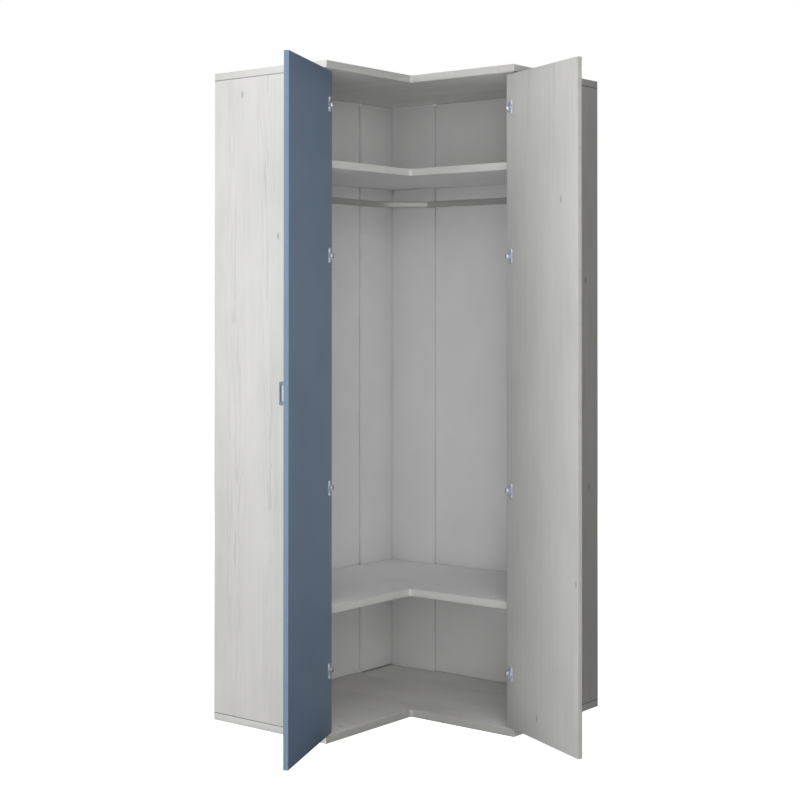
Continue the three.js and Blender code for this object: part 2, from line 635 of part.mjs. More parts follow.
addPart("top_panel", prism(capOutline(), INNER_TOP, HEIGHT), COLORS.whiteWood);
addPart("base_panel", prism(capOutline(), 0, BOARD_THICKNESS), COLORS.whiteWood);
addPart("left_side_panel", sidePanel(leftWall), COLORS.whiteWood);
addPart("right_side_panel", sidePanel(rightWall), COLORS.whiteWood);
addPart(
  "upper_shelf",
  prism(shelfOutline(), UPPER_SHELF_UNDERSIDE, UPPER_SHELF_UNDERSIDE + BOARD_THICKNESS),
  COLORS.whiteWood,
);
addPart(
  "lower_shelf",
  prism(shelfOutline(), LOWER_SHELF_UNDERSIDE, LOWER_SHELF_UNDERSIDE + BOARD_THICKNESS),
  COLORS.whiteWood,
);
addPart(
  "left_corner_board",
  cornerBoard(leftWall, CORNER_BOARD_THICKNESS, LEFT_CORNER_BOARD_WIDTH, LEFT_CORNER_BOARD_LIFT),
  COLORS.whiteWood,
);
addPart(
  "right_corner_board",
  cornerBoard(rightWall, 0, RIGHT_CORNER_BOARD_WIDTH, RIGHT_CORNER_BOARD_LIFT),
  COLORS.whiteWood,
);
addPart("left_back_panel", backPanel(leftWall, LEFT_CORNER_BOARD_WIDTH), COLORS.backBoard);
addPart("right_back_panel", backPanel(rightWall, RIGHT_CORNER_BOARD_WIDTH), COLORS.backBoard);
addPart("bent_rail", bentRail(), COLORS.railMetal);
addPart("straight_rail", straightRail(), COLORS.railMetal);
addPart("left_rail_socket", railSocket(leftWall), COLORS.socketPlastic);
addPart("right_rail_socket", railSocket(rightWall), COLORS.socketPlastic);
addDoor("left", leftHingePlan, COLORS.blueBoard, LEFT_HINGE_SHARES);
addDoor("right", rightHingePlan, COLORS.whiteWood, RIGHT_HINGE_SHARES);
addPart("left_handle", handle(leftHingePlan), COLORS.handleMetal);

export default wardrobe;
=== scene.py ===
"""Looks of a corner wardrobe: two open doors on concealed hinges, two shelves and a bent clothes rail.

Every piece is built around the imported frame, in metres, in the frame's own coordinates.
"""

import json
import logging
import math
from collections.abc import Callable, Iterator, Sequence
from contextlib import contextmanager
from dataclasses import dataclass, field
from enum import Enum
from typing import Any

import bmesh
import bpy
from mathutils import Euler, Matrix, Vector


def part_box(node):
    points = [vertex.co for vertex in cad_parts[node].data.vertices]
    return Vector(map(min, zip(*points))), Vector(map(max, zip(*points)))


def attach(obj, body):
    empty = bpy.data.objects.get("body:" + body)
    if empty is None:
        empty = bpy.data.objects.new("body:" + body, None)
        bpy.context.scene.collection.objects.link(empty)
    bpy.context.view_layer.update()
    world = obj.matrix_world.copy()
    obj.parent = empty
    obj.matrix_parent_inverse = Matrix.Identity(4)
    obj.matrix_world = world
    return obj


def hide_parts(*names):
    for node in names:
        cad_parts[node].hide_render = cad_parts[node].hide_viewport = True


log = logging.getLogger("wardrobe")

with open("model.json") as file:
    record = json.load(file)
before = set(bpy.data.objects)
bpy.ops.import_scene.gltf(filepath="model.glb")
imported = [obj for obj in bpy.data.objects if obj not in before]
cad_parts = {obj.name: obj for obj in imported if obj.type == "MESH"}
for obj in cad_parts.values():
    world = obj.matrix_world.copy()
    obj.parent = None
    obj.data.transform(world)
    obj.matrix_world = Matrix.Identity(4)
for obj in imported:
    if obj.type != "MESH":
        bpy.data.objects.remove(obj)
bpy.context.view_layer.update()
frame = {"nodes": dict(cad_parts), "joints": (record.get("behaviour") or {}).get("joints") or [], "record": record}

MM = 0.001
SMOOTH_ANGLE = math.radians(35)
MERGE_DISTANCE = 0.005 * MM
UP = Vector((0, 0, 1))


class Side(Enum):
    """The two wings of the wardrobe."""

    LEFT = "left"
    RIGHT = "right"


class Lay(Enum):
    """Turns in degrees that bring a board's grain upright and its broad face towards Y."""

    FACING_Y = (0, 0, 0)
    FACING_X = (0, 0, 90)
    RIGHT_DOOR = (0, 0, 24.8)
    FLAT = (0, -90, 90)


def linear(code: str) -> tuple[float, float, float, float]:
    """Turns an sRGB hex colour to linear light.

    Args:
        code: Six hex digits.

    Returns:
        Red, green, blue and alpha, in linear light.
    """
    channels = [int(code[start:start + 2], 16) / 255 for start in (0, 2, 4)]
    red, green, blue = (c / 12.92 if c <= 0.04045 else ((c + 0.055) / 1.055) ** 2.4 for c in channels)
    return red, green, blue, 1.0


def add_node(
    tree: bpy.types.NodeTree,
    kind: str,
    inputs: dict[str | int, Any] | None = None,
    stops: Sequence[tuple[float, str]] = (),
    **settings: Any,
) -> bpy.types.Node:
    """Adds one node with its settings, values and links.

    Args:
        tree: Node tree that gets the node.
        kind: Blender's name of the node type.
        inputs: Values or source sockets by input name or index.
        stops: Places and hex colours of a colour ramp.
        settings: Attributes of the node.

    Returns:
        The new node.
    """
    node = tree.nodes.new(kind)
    for name, value in settings.items():
        setattr(node, name, value)
    for key, value in (inputs or {}).items():
        if isinstance(value, bpy.types.NodeSocket):
            tree.links.new(value, node.inputs[key])
        else:
            node.inputs[key].default_value = value
    for index, (place, code) in enumerate(stops):
        elements = node.color_ramp.elements
        element = elements[index] if index < len(elements) else elements.new(place)
        element.position = place
        element.color = linear(code)
    return node


def new_material(name: str) -> tuple[bpy.types.Material, bpy.types.NodeTree, bpy.types.Node]:
    """Makes a node material with a plain shader.

    Args:
        name: Name of the material.

    Returns:
        The material, its node tree and its surface shader.
    """
    material = bpy.data.materials.new(name)
    material.use_nodes = True
    tree = material.node_tree
    return material, tree, tree.nodes["Principled BSDF"]


def paint_joint_shade(
    tree: bpy.types.NodeTree, colour: bpy.types.NodeSocket, reach: float = 6 * MM, depth: float = 0.8,
) -> bpy.types.NodeSocket:
    """Paints shade into a colour in narrow joints and creases, found with an ambient-occlusion test.

    Args:
        tree: Node tree of the material.
        colour: Colour of the open surface.
        reach: Distance from the joint at which the shade ends.
        depth: Share of the light that a fully closed joint loses. An open right angle loses next to none.

    Returns:
        The shaded colour.
    """
    openness = add_node(
        tree, "ShaderNodeAmbientOcclusion", {"Distance": reach}, samples=8,
    ).outputs["AO"]
    shade = add_node(
        tree, "ShaderNodeMapRange",
        {"Value": openness, "From Min": 0.0, "From Max": 0.55, "To Min": 1 - depth, "To Max": 1.0},
    ).outputs["Result"]
    return add_node(
        tree, "ShaderNodeVectorMath", {0: colour, 3: shade}, operation="SCALE",
    ).outputs["Vector"]


@dataclass(frozen=True)
class WashedLarch:
    """Washed larch decor on melamine-faced chipboard: pale, matt, with a soft grey flame at each heart."""

    name: str
    lay: Lay
    heart: tuple[float, float, float]
    tones: tuple[str, str, str]
    tone_places: tuple[float, float, float] = (0.38, 0.6, 0.96)
    knot_tone: str = "9A958B"
    heart_spacing: float = 153.6 * MM
    heart_depth: float = 24 * MM
    heart_width: float = 62 * MM
    ring_spacing: float = 10 * MM
    pore_spacing: float = 1.6 * MM
    pore_length: float = 70 * MM
    cloud_width: float = 110 * MM
    cloud_stretch: float = 0.35
    figure_share: float = 0.2
    grain_shares: tuple[tuple[str, float], ...] = (("streaks", 0.38), ("pores", 0.14), ("clouds", 0.5))
    knot_spacing: float = 330 * MM
    knot_radius: float = 3 * MM
    tilt: float = math.radians(1.1)

    def material(self) -> bpy.types.Material:
        """Builds the material.

        Returns:
            The finished material.
        """
        material, tree, shader = new_material(self.name)
        place = add_node(tree, "ShaderNodeTexCoord").outputs["Object"]
        shifted = add_node(
            tree, "ShaderNodeVectorMath", {0: place, 1: self.heart}, operation="SUBTRACT",
        ).outputs["Vector"]
        turn = tuple(math.radians(degrees) for degrees in self.lay.value)
        upright = add_node(
            tree, "ShaderNodeMapping", {"Vector": shifted, "Rotation": turn},
        ).outputs["Vector"]
        centred = add_node(
            tree, "ShaderNodeMapping",
            {
                "Vector": upright, "Location": (0, self.heart_depth, 0),
                "Rotation": (self.tilt, self.tilt / 2, 0),
            },
        ).outputs["Vector"]
        grain = self.fine_grain(tree, centred)
        figure = self.figure(tree, centred)
        tone = self.blend(tree, figure, grain)
        wood = add_node(
            tree, "ShaderNodeValToRGB", {"Fac": tone}, stops=list(zip(self.tone_places, self.tones)),
        ).outputs["Color"]
        colour = add_node(
            tree, "ShaderNodeMix", {0: self.knots(tree, upright), 6: wood, 7: linear(self.knot_tone)},
            data_type="RGBA",
        ).outputs[2]
        # Painted shade in narrow joints, from an ambient-occlusion test.
        tree.links.new(paint_joint_shade(tree, colour), shader.inputs["Base Color"])
        shader.inputs["Roughness"].default_value = 0.52
        shader.inputs["IOR"].default_value = 1.52
        # Pressed pores: real ones are finer, these are as coarse as the picture can show.
        relief = add_node(
            tree, "ShaderNodeBump", {"Height": grain["pores"], "Distance": 0.05 * MM, "Strength": 0.5},
        ).outputs["Normal"]
        tree.links.new(relief, shader.inputs["Normal"])
        return material

    def blend(
        self, tree: bpy.types.NodeTree, figure: bpy.types.NodeSocket, grain: dict[str, bpy.types.NodeSocket],
    ) -> bpy.types.NodeSocket:
        """Adds the layers of the decor up, each with its own share.

        Args:
            tree: Node tree of the material.
            figure: Strength of the growth rings.
            grain: Strengths of the fine layers by name.

        Returns:
            Tone, from pale at 0 to grey at 1.
        """
        tone = add_node(
            tree, "ShaderNodeMath", {0: figure, 1: self.figure_share}, operation="MULTIPLY",
        ).outputs[0]
        for name, share in self.grain_shares:
            tone = add_node(
                tree, "ShaderNodeMath", {0: grain[name], 1: share, 2: tone}, operation="MULTIPLY_ADD",
            ).outputs[0]
        return tone

    def fine_grain(
        self, tree: bpy.types.NodeTree, centred: bpy.types.NodeSocket,
    ) -> dict[str, bpy.types.NodeSocket]:
        """Adds the lengthwise streaks and pores, and the soft clouds between them.

        Args:
            tree: Node tree of the material.
            centred: Place with the grain upright.

        Returns:
            Strengths of the streaks, the pores and the clouds by name.
        """
        drawn_out = add_node(
            tree, "ShaderNodeMapping",
            {"Vector": centred, "Scale": (1, 1, self.pore_spacing / self.pore_length)},
        ).outputs["Vector"]
        pores = add_node(
            tree, "ShaderNodeTexNoise",
            {"Vector": drawn_out, "Scale": 1 / self.pore_spacing, "Detail": 2.0, "Roughness": 0.6},
        ).outputs["Fac"]
        streaks = add_node(
            tree, "ShaderNodeTexNoise",
            {"Vector": drawn_out, "Scale": 0.12 / self.pore_spacing, "Detail": 3.0, "Roughness": 0.65},
        ).outputs["Fac"]
        clouds = add_node(
            tree, "ShaderNodeTexNoise",
            {
                "Vector": add_node(
                    tree, "ShaderNodeMapping", {"Vector": centred, "Scale": (1, 1, self.cloud_stretch)},
                ).outputs["Vector"],
                "Scale": 1 / self.cloud_width, "Detail": 2.0, "Roughness": 0.5,
            },
        ).outputs["Fac"]
        return {"streaks": streaks, "pores": pores, "clouds": clouds}

    def figure(self, tree: bpy.types.NodeTree, centred: bpy.types.NodeSocket) -> bpy.types.NodeSocket:
        """Adds the growth rings, which show as flames at each heart and fade away from it.

        Args:
            tree: Node tree of the material.
            centred: Place with the grain upright, from the first heart's line.

        Returns:
            Strength of the figure.
        """
        half = self.heart_spacing / 2
        board_length = 50.0
        hearts = add_node(
            tree, "ShaderNodeVectorMath",
            {0: centred, 1: (half, half, board_length), 2: (-half, -half, -board_length)}, operation="WRAP",
        ).outputs["Vector"]
        # The figure wanders slowly along the board, so lengths along the grain count for little.
        slow = (1, 1, 0.13)
        wander = add_node(
            tree, "ShaderNodeTexNoise",
            {
                "Vector": add_node(
                    tree, "ShaderNodeMapping", {"Vector": centred, "Scale": slow},
                ).outputs["Vector"],
                "Scale": 1 / self.cloud_width, "Detail": 4.0, "Roughness": 0.62,
            },
        ).outputs["Color"]
        sway = add_node(
            tree, "ShaderNodeVectorMath", {0: wander, 1: (0.5, 0.5, 0.5)}, operation="SUBTRACT",
        ).outputs["Vector"]
        bent = add_node(
            tree, "ShaderNodeVectorMath",
            {0: sway, 1: (self.cloud_width * 0.6,) * 3, 2: hearts}, operation="MULTIPLY_ADD",
        ).outputs["Vector"]
        flat = add_node(
            tree, "ShaderNodeVectorMath", {0: bent, 1: (1, 1, 0)}, operation="MULTIPLY",
        ).outputs[0]
        # The ring wave repeats every 2 pi / 20 of its scaled length.
        rings = add_node(
            tree, "ShaderNodeTexWave",
            {"Vector": flat, "Scale": math.tau / 20 / self.ring_spacing},
            wave_type="RINGS", rings_direction="Z", wave_profile="SAW",
        ).outputs["Fac"]
        late_wood = add_node(
            tree, "ShaderNodeMapRange",
            {"Value": rings, "From Min": 0.5, "From Max": 1.0, "To Min": 0.0, "To Max": 1.0},
            interpolation_type="SMOOTHSTEP",
        ).outputs["Result"]
        away = add_node(tree, "ShaderNodeVectorMath", {0: flat}, operation="LENGTH").outputs["Value"]
        near_heart = add_node(
            tree, "ShaderNodeMapRange",
            {
                "Value": away, "From Min": self.heart_depth, "From Max": self.heart_width,
                "To Min": 1.0, "To Max": 0.1,
            },
            interpolation_type="SMOOTHSTEP",
        ).outputs["Result"]
        return add_node(
            tree, "ShaderNodeMath", {0: late_wood, 1: near_heart}, operation="MULTIPLY",
        ).outputs[0]

    def knots(self, tree: bpy.types.NodeTree, upright: bpy.types.NodeSocket) -> bpy.types.NodeSocket:
        """Scatters a few pin knots over the board's face.

        Args:
            tree: Node tree of the material.
            upright: Place with the grain upright and the face towards Y.

        Returns:
            Strength of the knots.
        """
        face = add_node(
            tree, "ShaderNodeMapping",
            {"Vector": upright, "Scale": (1, 1, 0.38), "Rotation": (math.radians(90), 0, 0)},
        ).outputs["Vector"]
        distance = add_node(
            tree, "ShaderNodeTexVoronoi",
            {"Vector": face, "Scale": 1 / self.knot_spacing, "Randomness": 1.0}, voronoi_dimensions="2D",
        ).outputs["Distance"]
        share = self.knot_radius / self.knot_spacing
        return add_node(
            tree, "ShaderNodeMapRange",
            {
                "Value": distance, "From Min": 0.4 * share, "From Max": 2.4 * share,
                "To Min": 0.6, "To Max": 0.0,
            },
            interpolation_type="SMOOTHERSTEP",
        ).outputs["Result"]


@dataclass(frozen=True)
class PlainMelamine:
    """Plain melamine facing on chipboard: even colour, a fine pressed pearl texture, matt sheen."""

    name: str
    colour: str
    shade: str
    pearl: float = 1.5 * MM
    roughness: float = 0.5

    def material(self) -> bpy.types.Material:
        """Builds the material.

        Returns:
            The finished material.
        """
        material, tree, shader = new_material(self.name)
        place = add_node(tree, "ShaderNodeTexCoord").outputs["Object"]
        mottle = add_node(
            tree, "ShaderNodeTexNoise", {"Vector": place, "Scale": 1 / (180 * MM), "Detail": 4.0},
        ).outputs["Fac"]
        colour = add_node(
            tree, "ShaderNodeValToRGB", {"Fac": mottle}, stops=[(0.35, self.shade), (0.65, self.colour)],
        ).outputs["Color"]
        # Painted shade in narrow joints, from an ambient-occlusion test.
        tree.links.new(paint_joint_shade(tree, colour), shader.inputs["Base Color"])
        shader.inputs["Roughness"].default_value = self.roughness
        shader.inputs["IOR"].default_value = 1.52
        pearls = add_node(
            tree, "ShaderNodeTexNoise", {"Vector": place, "Scale": 1 / self.pearl, "Detail": 1.0},
        ).outputs["Fac"]
        relief = add_node(
            tree, "ShaderNodeBump", {"Height": pearls, "Distance": 0.03 * MM, "Strength": 0.4},
        ).outputs["Normal"]
        tree.links.new(relief, shader.inputs["Normal"])
        return material


@dataclass(frozen=True)
class EdgeBand:
    """ABS edge band, extruded and planed: a shade smoother than the board, flecked, with a faint fine relief."""

    name: str
    colour: str
    shade: str
    line_spacing: float = 2.5 * MM

    def material(self) -> bpy.types.Material:
        """Builds the material.

        Returns:
            The finished material.
        """
        material, tree, shader = new_material(self.name)
        place = add_node(tree, "ShaderNodeTexCoord").outputs["Object"]
        flecks = add_node(
            tree, "ShaderNodeTexNoise",
            {"Vector": place, "Scale": 1 / (28 * MM), "Detail": 3.0, "Roughness": 0.6},
        ).outputs["Fac"]
        colour = add_node(
            tree, "ShaderNodeValToRGB", {"Fac": flecks}, stops=[(0.3, self.shade), (0.7, self.colour)],
        ).outputs["Color"]
        # Painted shade in narrow joints, from an ambient-occlusion test.
        tree.links.new(paint_joint_shade(tree, colour), shader.inputs["Base Color"])
        shader.inputs["Roughness"].default_value = 0.42
        shader.inputs["IOR"].default_value = 1.53
        lines = add_node(
            tree, "ShaderNodeTexNoise", {"Vector": place, "Scale": 1 / self.line_spacing, "Detail": 1.0},
        ).outputs["Fac"]
        relief = add_node(
            tree, "ShaderNodeBump", {"Height": lines, "Distance": 0.02 * MM, "Strength": 0.3},
        ).outputs["Normal"]
        tree.links.new(relief, shader.inputs["Normal"])
        return material


@dataclass(frozen=True)
class PlatedSteel:
    """Metal with a plated or lacquered surface: soft reflections, slightly uneven from handling."""

    name: str
    colour: str
    roughness: float
    metallic: float = 1.0
    smear: float = 9 * MM

    def material(self) -> bpy.types.Material:
        """Builds the material.

        Returns:
            The finished material.
        """
        material, tree, shader = new_material(self.name)
        place = add_node(tree, "ShaderNodeTexCoord").outputs["Object"]
        shader.inputs["Base Color"].default_value = linear(self.colour)
        shader.inputs["Metallic"].default_value = self.metallic
        smears = add_node(
            tree, "ShaderNodeTexNoise", {"Vector": place, "Scale": 1 / self.smear, "Detail": 3.0},
        ).outputs["Fac"]
        rough = add_node(
            tree, "ShaderNodeMapRange",
            {
                "Value": smears, "From Min": 0.3, "From Max": 0.7,
                "To Min": self.roughness * 0.85, "To Max": self.roughness * 1.15,
            },
        ).outputs["Result"]
        tree.links.new(rough, shader.inputs["Roughness"])
        return material


@dataclass(frozen=True)
class Nylon:
    """Moulded nylon: grey, with the fine spark texture of its mould."""

    name: str
    colour: str
    grit: float = 0.8 * MM

    def material(self) -> bpy.types.Material:
        """Builds the material.

        Returns:
            The finished material.
        """
        material, tree, shader = new_material(self.name)
        place = add_node(tree, "ShaderNodeTexCoord").outputs["Object"]
        shader.inputs["Base Color"].default_value = linear(self.colour)
        shader.inputs["Roughness"].default_value = 0.45
        shader.inputs["IOR"].default_value = 1.53
        grit = add_node(
            tree, "ShaderNodeTexNoise", {"Vector": place, "Scale": 1 / self.grit, "Detail": 1.0},
        ).outputs["Fac"]
        relief = add_node(
            tree, "ShaderNodeBump", {"Height": grit, "Distance": 0.02 * MM, "Strength": 0.5},
        ).outputs["Normal"]
        tree.links.new(relief, shader.inputs["Normal"])
        return material


def deselect_all() -> None:
    """Deselects every object, so that the next operator acts on one piece alone."""
    bpy.ops.object.select_all(action="DESELECT")


def activate(*pieces: bpy.types.Object) -> None:
    """Selects the pieces alone and makes the first one active.

    Args:
        pieces: Pieces to select.
    """
    deselect_all()
    for piece in pieces:
        piece.select_set(True)
    bpy.context.view_layer.objects.active = pieces[0]


@contextmanager
def editing(piece: bpy.types.Object, element: str = "FACE") -> Iterator[bpy.types.Object]:
    """Edit mode on one piece.

    Args:
        piece: Piece to edit.
        element: Kind of element that is selected, FACE, EDGE or VERT.

    Yields:
        The piece in edit mode.
    """
    activate(piece)
    bpy.ops.object.mode_set(mode="EDIT")
    bpy.ops.mesh.select_mode(type=element)
    yield piece
    bpy.ops.object.mode_set(mode="OBJECT")


def pick_faces(piece: bpy.types.Object, wanted: Callable[[Vector, Vector], bool]) -> None:
    """Selects the faces that pass a test, in edit mode.

    Args:
        piece: Piece in edit mode.
        wanted: Test of a face's centre and normal.
    """
    bpy.ops.mesh.select_all(action="DESELECT")
    mesh = bmesh.from_edit_mesh(piece.data)
    for face in mesh.faces:
        face.select_set(wanted(face.calc_center_median(), face.normal))
    bmesh.update_edit_mesh(piece.data)


def pick_edges(piece: bpy.types.Object, wanted: Callable[[Vector, Vector], bool]) -> None:
    """Selects the edges that pass a test, in edit mode.

    Args:
        piece: Piece in edit mode.
        wanted: Test of an edge's middle and unit direction.
    """
    bpy.ops.mesh.select_all(action="DESELECT")
    mesh = bmesh.from_edit_mesh(piece.data)
    for edge in mesh.edges:
        start, end = (corner.co for corner in edge.verts)
        edge.select_set(wanted((start + end) / 2, (end - start).normalized()))
    bmesh.update_edit_mesh(piece.data)


def extrude(step: Sequence[float]) -> None:
    """Extrudes the selection by a step in metres, in edit mode."""
    bpy.ops.mesh.extrude_region_move(TRANSFORM_OT_translate={"value": tuple(step)})


def modify(piece: bpy.types.Object, kind: str, **settings: Any) -> None:
    """Adds a modifier and applies it.

    Args:
        piece: Piece to change.
        kind: Blender's name of the modifier type.
        settings: Attributes of the modifier.
    """
    activate(piece)
    modifier = piece.modifiers.new(kind.title(), kind)
    for name, value in settings.items():
        setattr(modifier, name, value)
    bpy.ops.object.modifier_apply(modifier=modifier.name)


def soften(piece: bpy.types.Object, radius: float, segments: int = 2) -> None:
    """Rounds the sharp edges of a piece and smooths its shading.

    Args:
        piece: Piece to soften.
        radius: Radius of the edges.
        segments: Steps of the rounding.
    """
    modify(
        piece, "BEVEL", width=radius, segments=segments, limit_method="ANGLE",
        angle_limit=SMOOTH_ANGLE, harden_normals=False, use_clamp_overlap=True,
    )
    activate(piece)
    bpy.ops.object.shade_smooth_by_angle(angle=SMOOTH_ANGLE)


def combine(piece: bpy.types.Object, tool: bpy.types.Object, operation: str) -> None:
    """Joins a tool to a piece or cuts it out, and deletes the tool.

    Args:
        piece: Piece to change.
        tool: Solid that is joined or cut out.
        operation: UNION or DIFFERENCE.
    """
    modify(piece, "BOOLEAN", object=tool, operation=operation, solver="EXACT", use_self=True)
    bpy.data.objects.remove(tool)
    with editing(piece):
        bpy.ops.mesh.select_all(action="SELECT")
        bpy.ops.mesh.remove_doubles(threshold=MERGE_DISTANCE)
        bpy.ops.mesh.dissolve_degenerate(threshold=MERGE_DISTANCE)


def block(name: str, lowest: Sequence[float], highest: Sequence[float]) -> bpy.types.Object:
    """Adds a cube stretched between two corners, with its size and place in its mesh.

    Args:
        name: Name of the piece.
        lowest: Corner with the lowest coordinates.
        highest: Corner with the highest coordinates.

    Returns:
        The new piece.
    """
    low, high = Vector(lowest), Vector(highest)
    deselect_all()
    bpy.ops.mesh.primitive_cube_add(size=1, location=(low + high) / 2, scale=high - low)
    piece = bpy.context.object
    piece.name = name
    bpy.ops.object.transform_apply(location=True, rotation=True, scale=True)
    return piece


def disc(
    name: str, centre: Sequence[float], radius: float, depth: float, axis: Vector, steps: int = 48,
) -> bpy.types.Object:
    """Adds a cylinder about a centre along an axis, with its size and place in its mesh.

    Args:
        name: Name of the piece.
        centre: Middle of the cylinder.
        radius: Radius.
        depth: Length along the axis.
        axis: Direction of the axis.
        steps: Number of sides.

    Returns:
        The new piece.
    """
    deselect_all()
    turn = UP.rotation_difference(axis).to_euler()
    bpy.ops.mesh.primitive_cylinder_add(
        vertices=steps, radius=radius, depth=depth, location=Vector(centre), rotation=turn,
    )
    piece = bpy.context.object
    piece.name = name
    bpy.ops.object.transform_apply(location=True, rotation=True, scale=True)
    return piece


def wear(piece: bpy.types.Object, *materials: bpy.types.Material) -> None:
    """Gives a piece its materials, the first one all over.

    Args:
        piece: Piece to dress.
        materials: Its materials in order.
    """
    piece.data.materials.clear()
    for material in materials:
        piece.data.materials.append(material)
    for polygon in piece.data.polygons:
        polygon.material_index = 0


def band_edges(piece: bpy.types.Object, is_face: Callable[[Vector], bool]) -> None:
    """Gives the second material to all polygons but the broad faces, found by their normals."""
    for polygon in piece.data.polygons:
        polygon.material_index = 0 if is_face(polygon.normal) else 1


def put(piece: bpy.types.Object, body: str, slot: str, *nodes: str) -> bpy.types.Object:
    """Lets a finished piece ride on a body and stand for its CAD nodes.

    Args:
        piece: Finished piece.
        body: Body that carries it.
        slot: Material slot of the record; not used.
        nodes: CAD nodes that it stands for.

    Returns:
        The piece.
    """
    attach(piece, body)
    if nodes:
        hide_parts(*nodes)
    log.info("%s rides on %s for %s", piece.name, body, ", ".join(nodes) or "no node")
    return piece


@dataclass(frozen=True)
class Palette:
    """All materials of the wardrobe."""

    left_side: bpy.types.Material
    right_side: bpy.types.Material
    caps: bpy.types.Material
    white_door: bpy.types.Material
    blue_door: bpy.types.Material
    interior: bpy.types.Material
    upright: bpy.types.Material
    back: bpy.types.Material
    white_band: bpy.types.Material
    base_band: bpy.types.Material
    door_band: bpy.types.Material
    end_band: bpy.types.Material
    joint: bpy.types.Material
    plain_band: bpy.types.Material
    blue_band: bpy.types.Material
    nickel: bpy.types.Material
    bright_nickel: bpy.types.Material
    rail: bpy.types.Material
    handle: bpy.types.Material
    socket: bpy.types.Material

    @classmethod
    def mixed(cls) -> "Palette":
        """Builds every material once.

        Returns:
            The palette.
        """
        # Lit and shaded copies of the same larch tones, painted as light falls: the lit ones for the left side and
        # the caps, the middle ones for the right side, the shaded ones for the open right door.
        bright = ("F0EFEB", "E8E7E3", "CFCDC7")
        plain = ("ECEBE8", "E5E4E0", "CCCAC4")
        shaded_larch_tones = ("DAD9D6", "D2D1CD", "BBB9B3")
        return cls(
            left_side=WashedLarch("larch_left_side", Lay.FACING_Y, (0.1, -0.944, 1.0), bright).material(),
            right_side=WashedLarch("larch_right_side", Lay.FACING_X, (0.944, -0.25, 1.2), plain).material(),
            caps=WashedLarch("larch_caps", Lay.FLAT, (0.45, -0.3, 0.025), bright).material(),
            white_door=WashedLarch("larch_door", Lay.RIGHT_DOOR, (1.03, -0.59, 1.1), shaded_larch_tones).material(),
            blue_door=PlainMelamine("denim_melamine", "8095AF", "7C91AB", roughness=0.45).material(),
            interior=PlainMelamine("shelf_melamine", "EEEEEE", "EAEAEA").material(),
            upright=PlainMelamine("upright_melamine", "DCDCDC", "D8D8D8").material(),
            back=PlainMelamine("back_lacquer", "E9E9E9", "E5E5E5", roughness=0.6).material(),
            # The washed edge band in lit and shaded copies, painted as light falls on each edge: the caps' ends
            # lightest, then the door's edges, then the top and side fronts, and the base's front darkest.
            white_band=EdgeBand("washed_band", "CFCEC9", "C8C7C2").material(),
            base_band=EdgeBand("washed_base_band", "BBBAB5", "B4B3AE").material(),
            door_band=EdgeBand("washed_door_band", "D4D3CE", "CCCBC6").material(),
            # A dark copy of the band for the rounded edges along the seams of caps and side panels: painted shade
            # of the seam.
            end_band=EdgeBand("washed_end_band", "E8E7E3", "E3E2DE").material(),
            joint=EdgeBand("painted_seam_shade", "8C8A85", "878580").material(),
            plain_band=EdgeBand("shelf_band", "D4D4D1", "CFCFCC").material(),
            blue_band=EdgeBand("denim_band", "7B94AC", "768FA7").material(),
            nickel=PlatedSteel("nickel_plated_steel", "B4B6BA", 0.5).material(),
            # The cup's nickel is a lighter copy of the plated steel: a painted highlight for the bright blade of
            # its flange.
            bright_nickel=PlatedSteel("bright_nickel_flange", "E6EAF2", 0.6).material(),
            rail=PlatedSteel("silver_lacquered_tube", "ADACAA", 0.6, metallic=0.5).material(),
            handle=PlatedSteel("satin_zinc_casting", "939BA9", 0.5, metallic=0.6).material(),
            socket=Nylon("grey_nylon", "8C8E90").material(),
        )


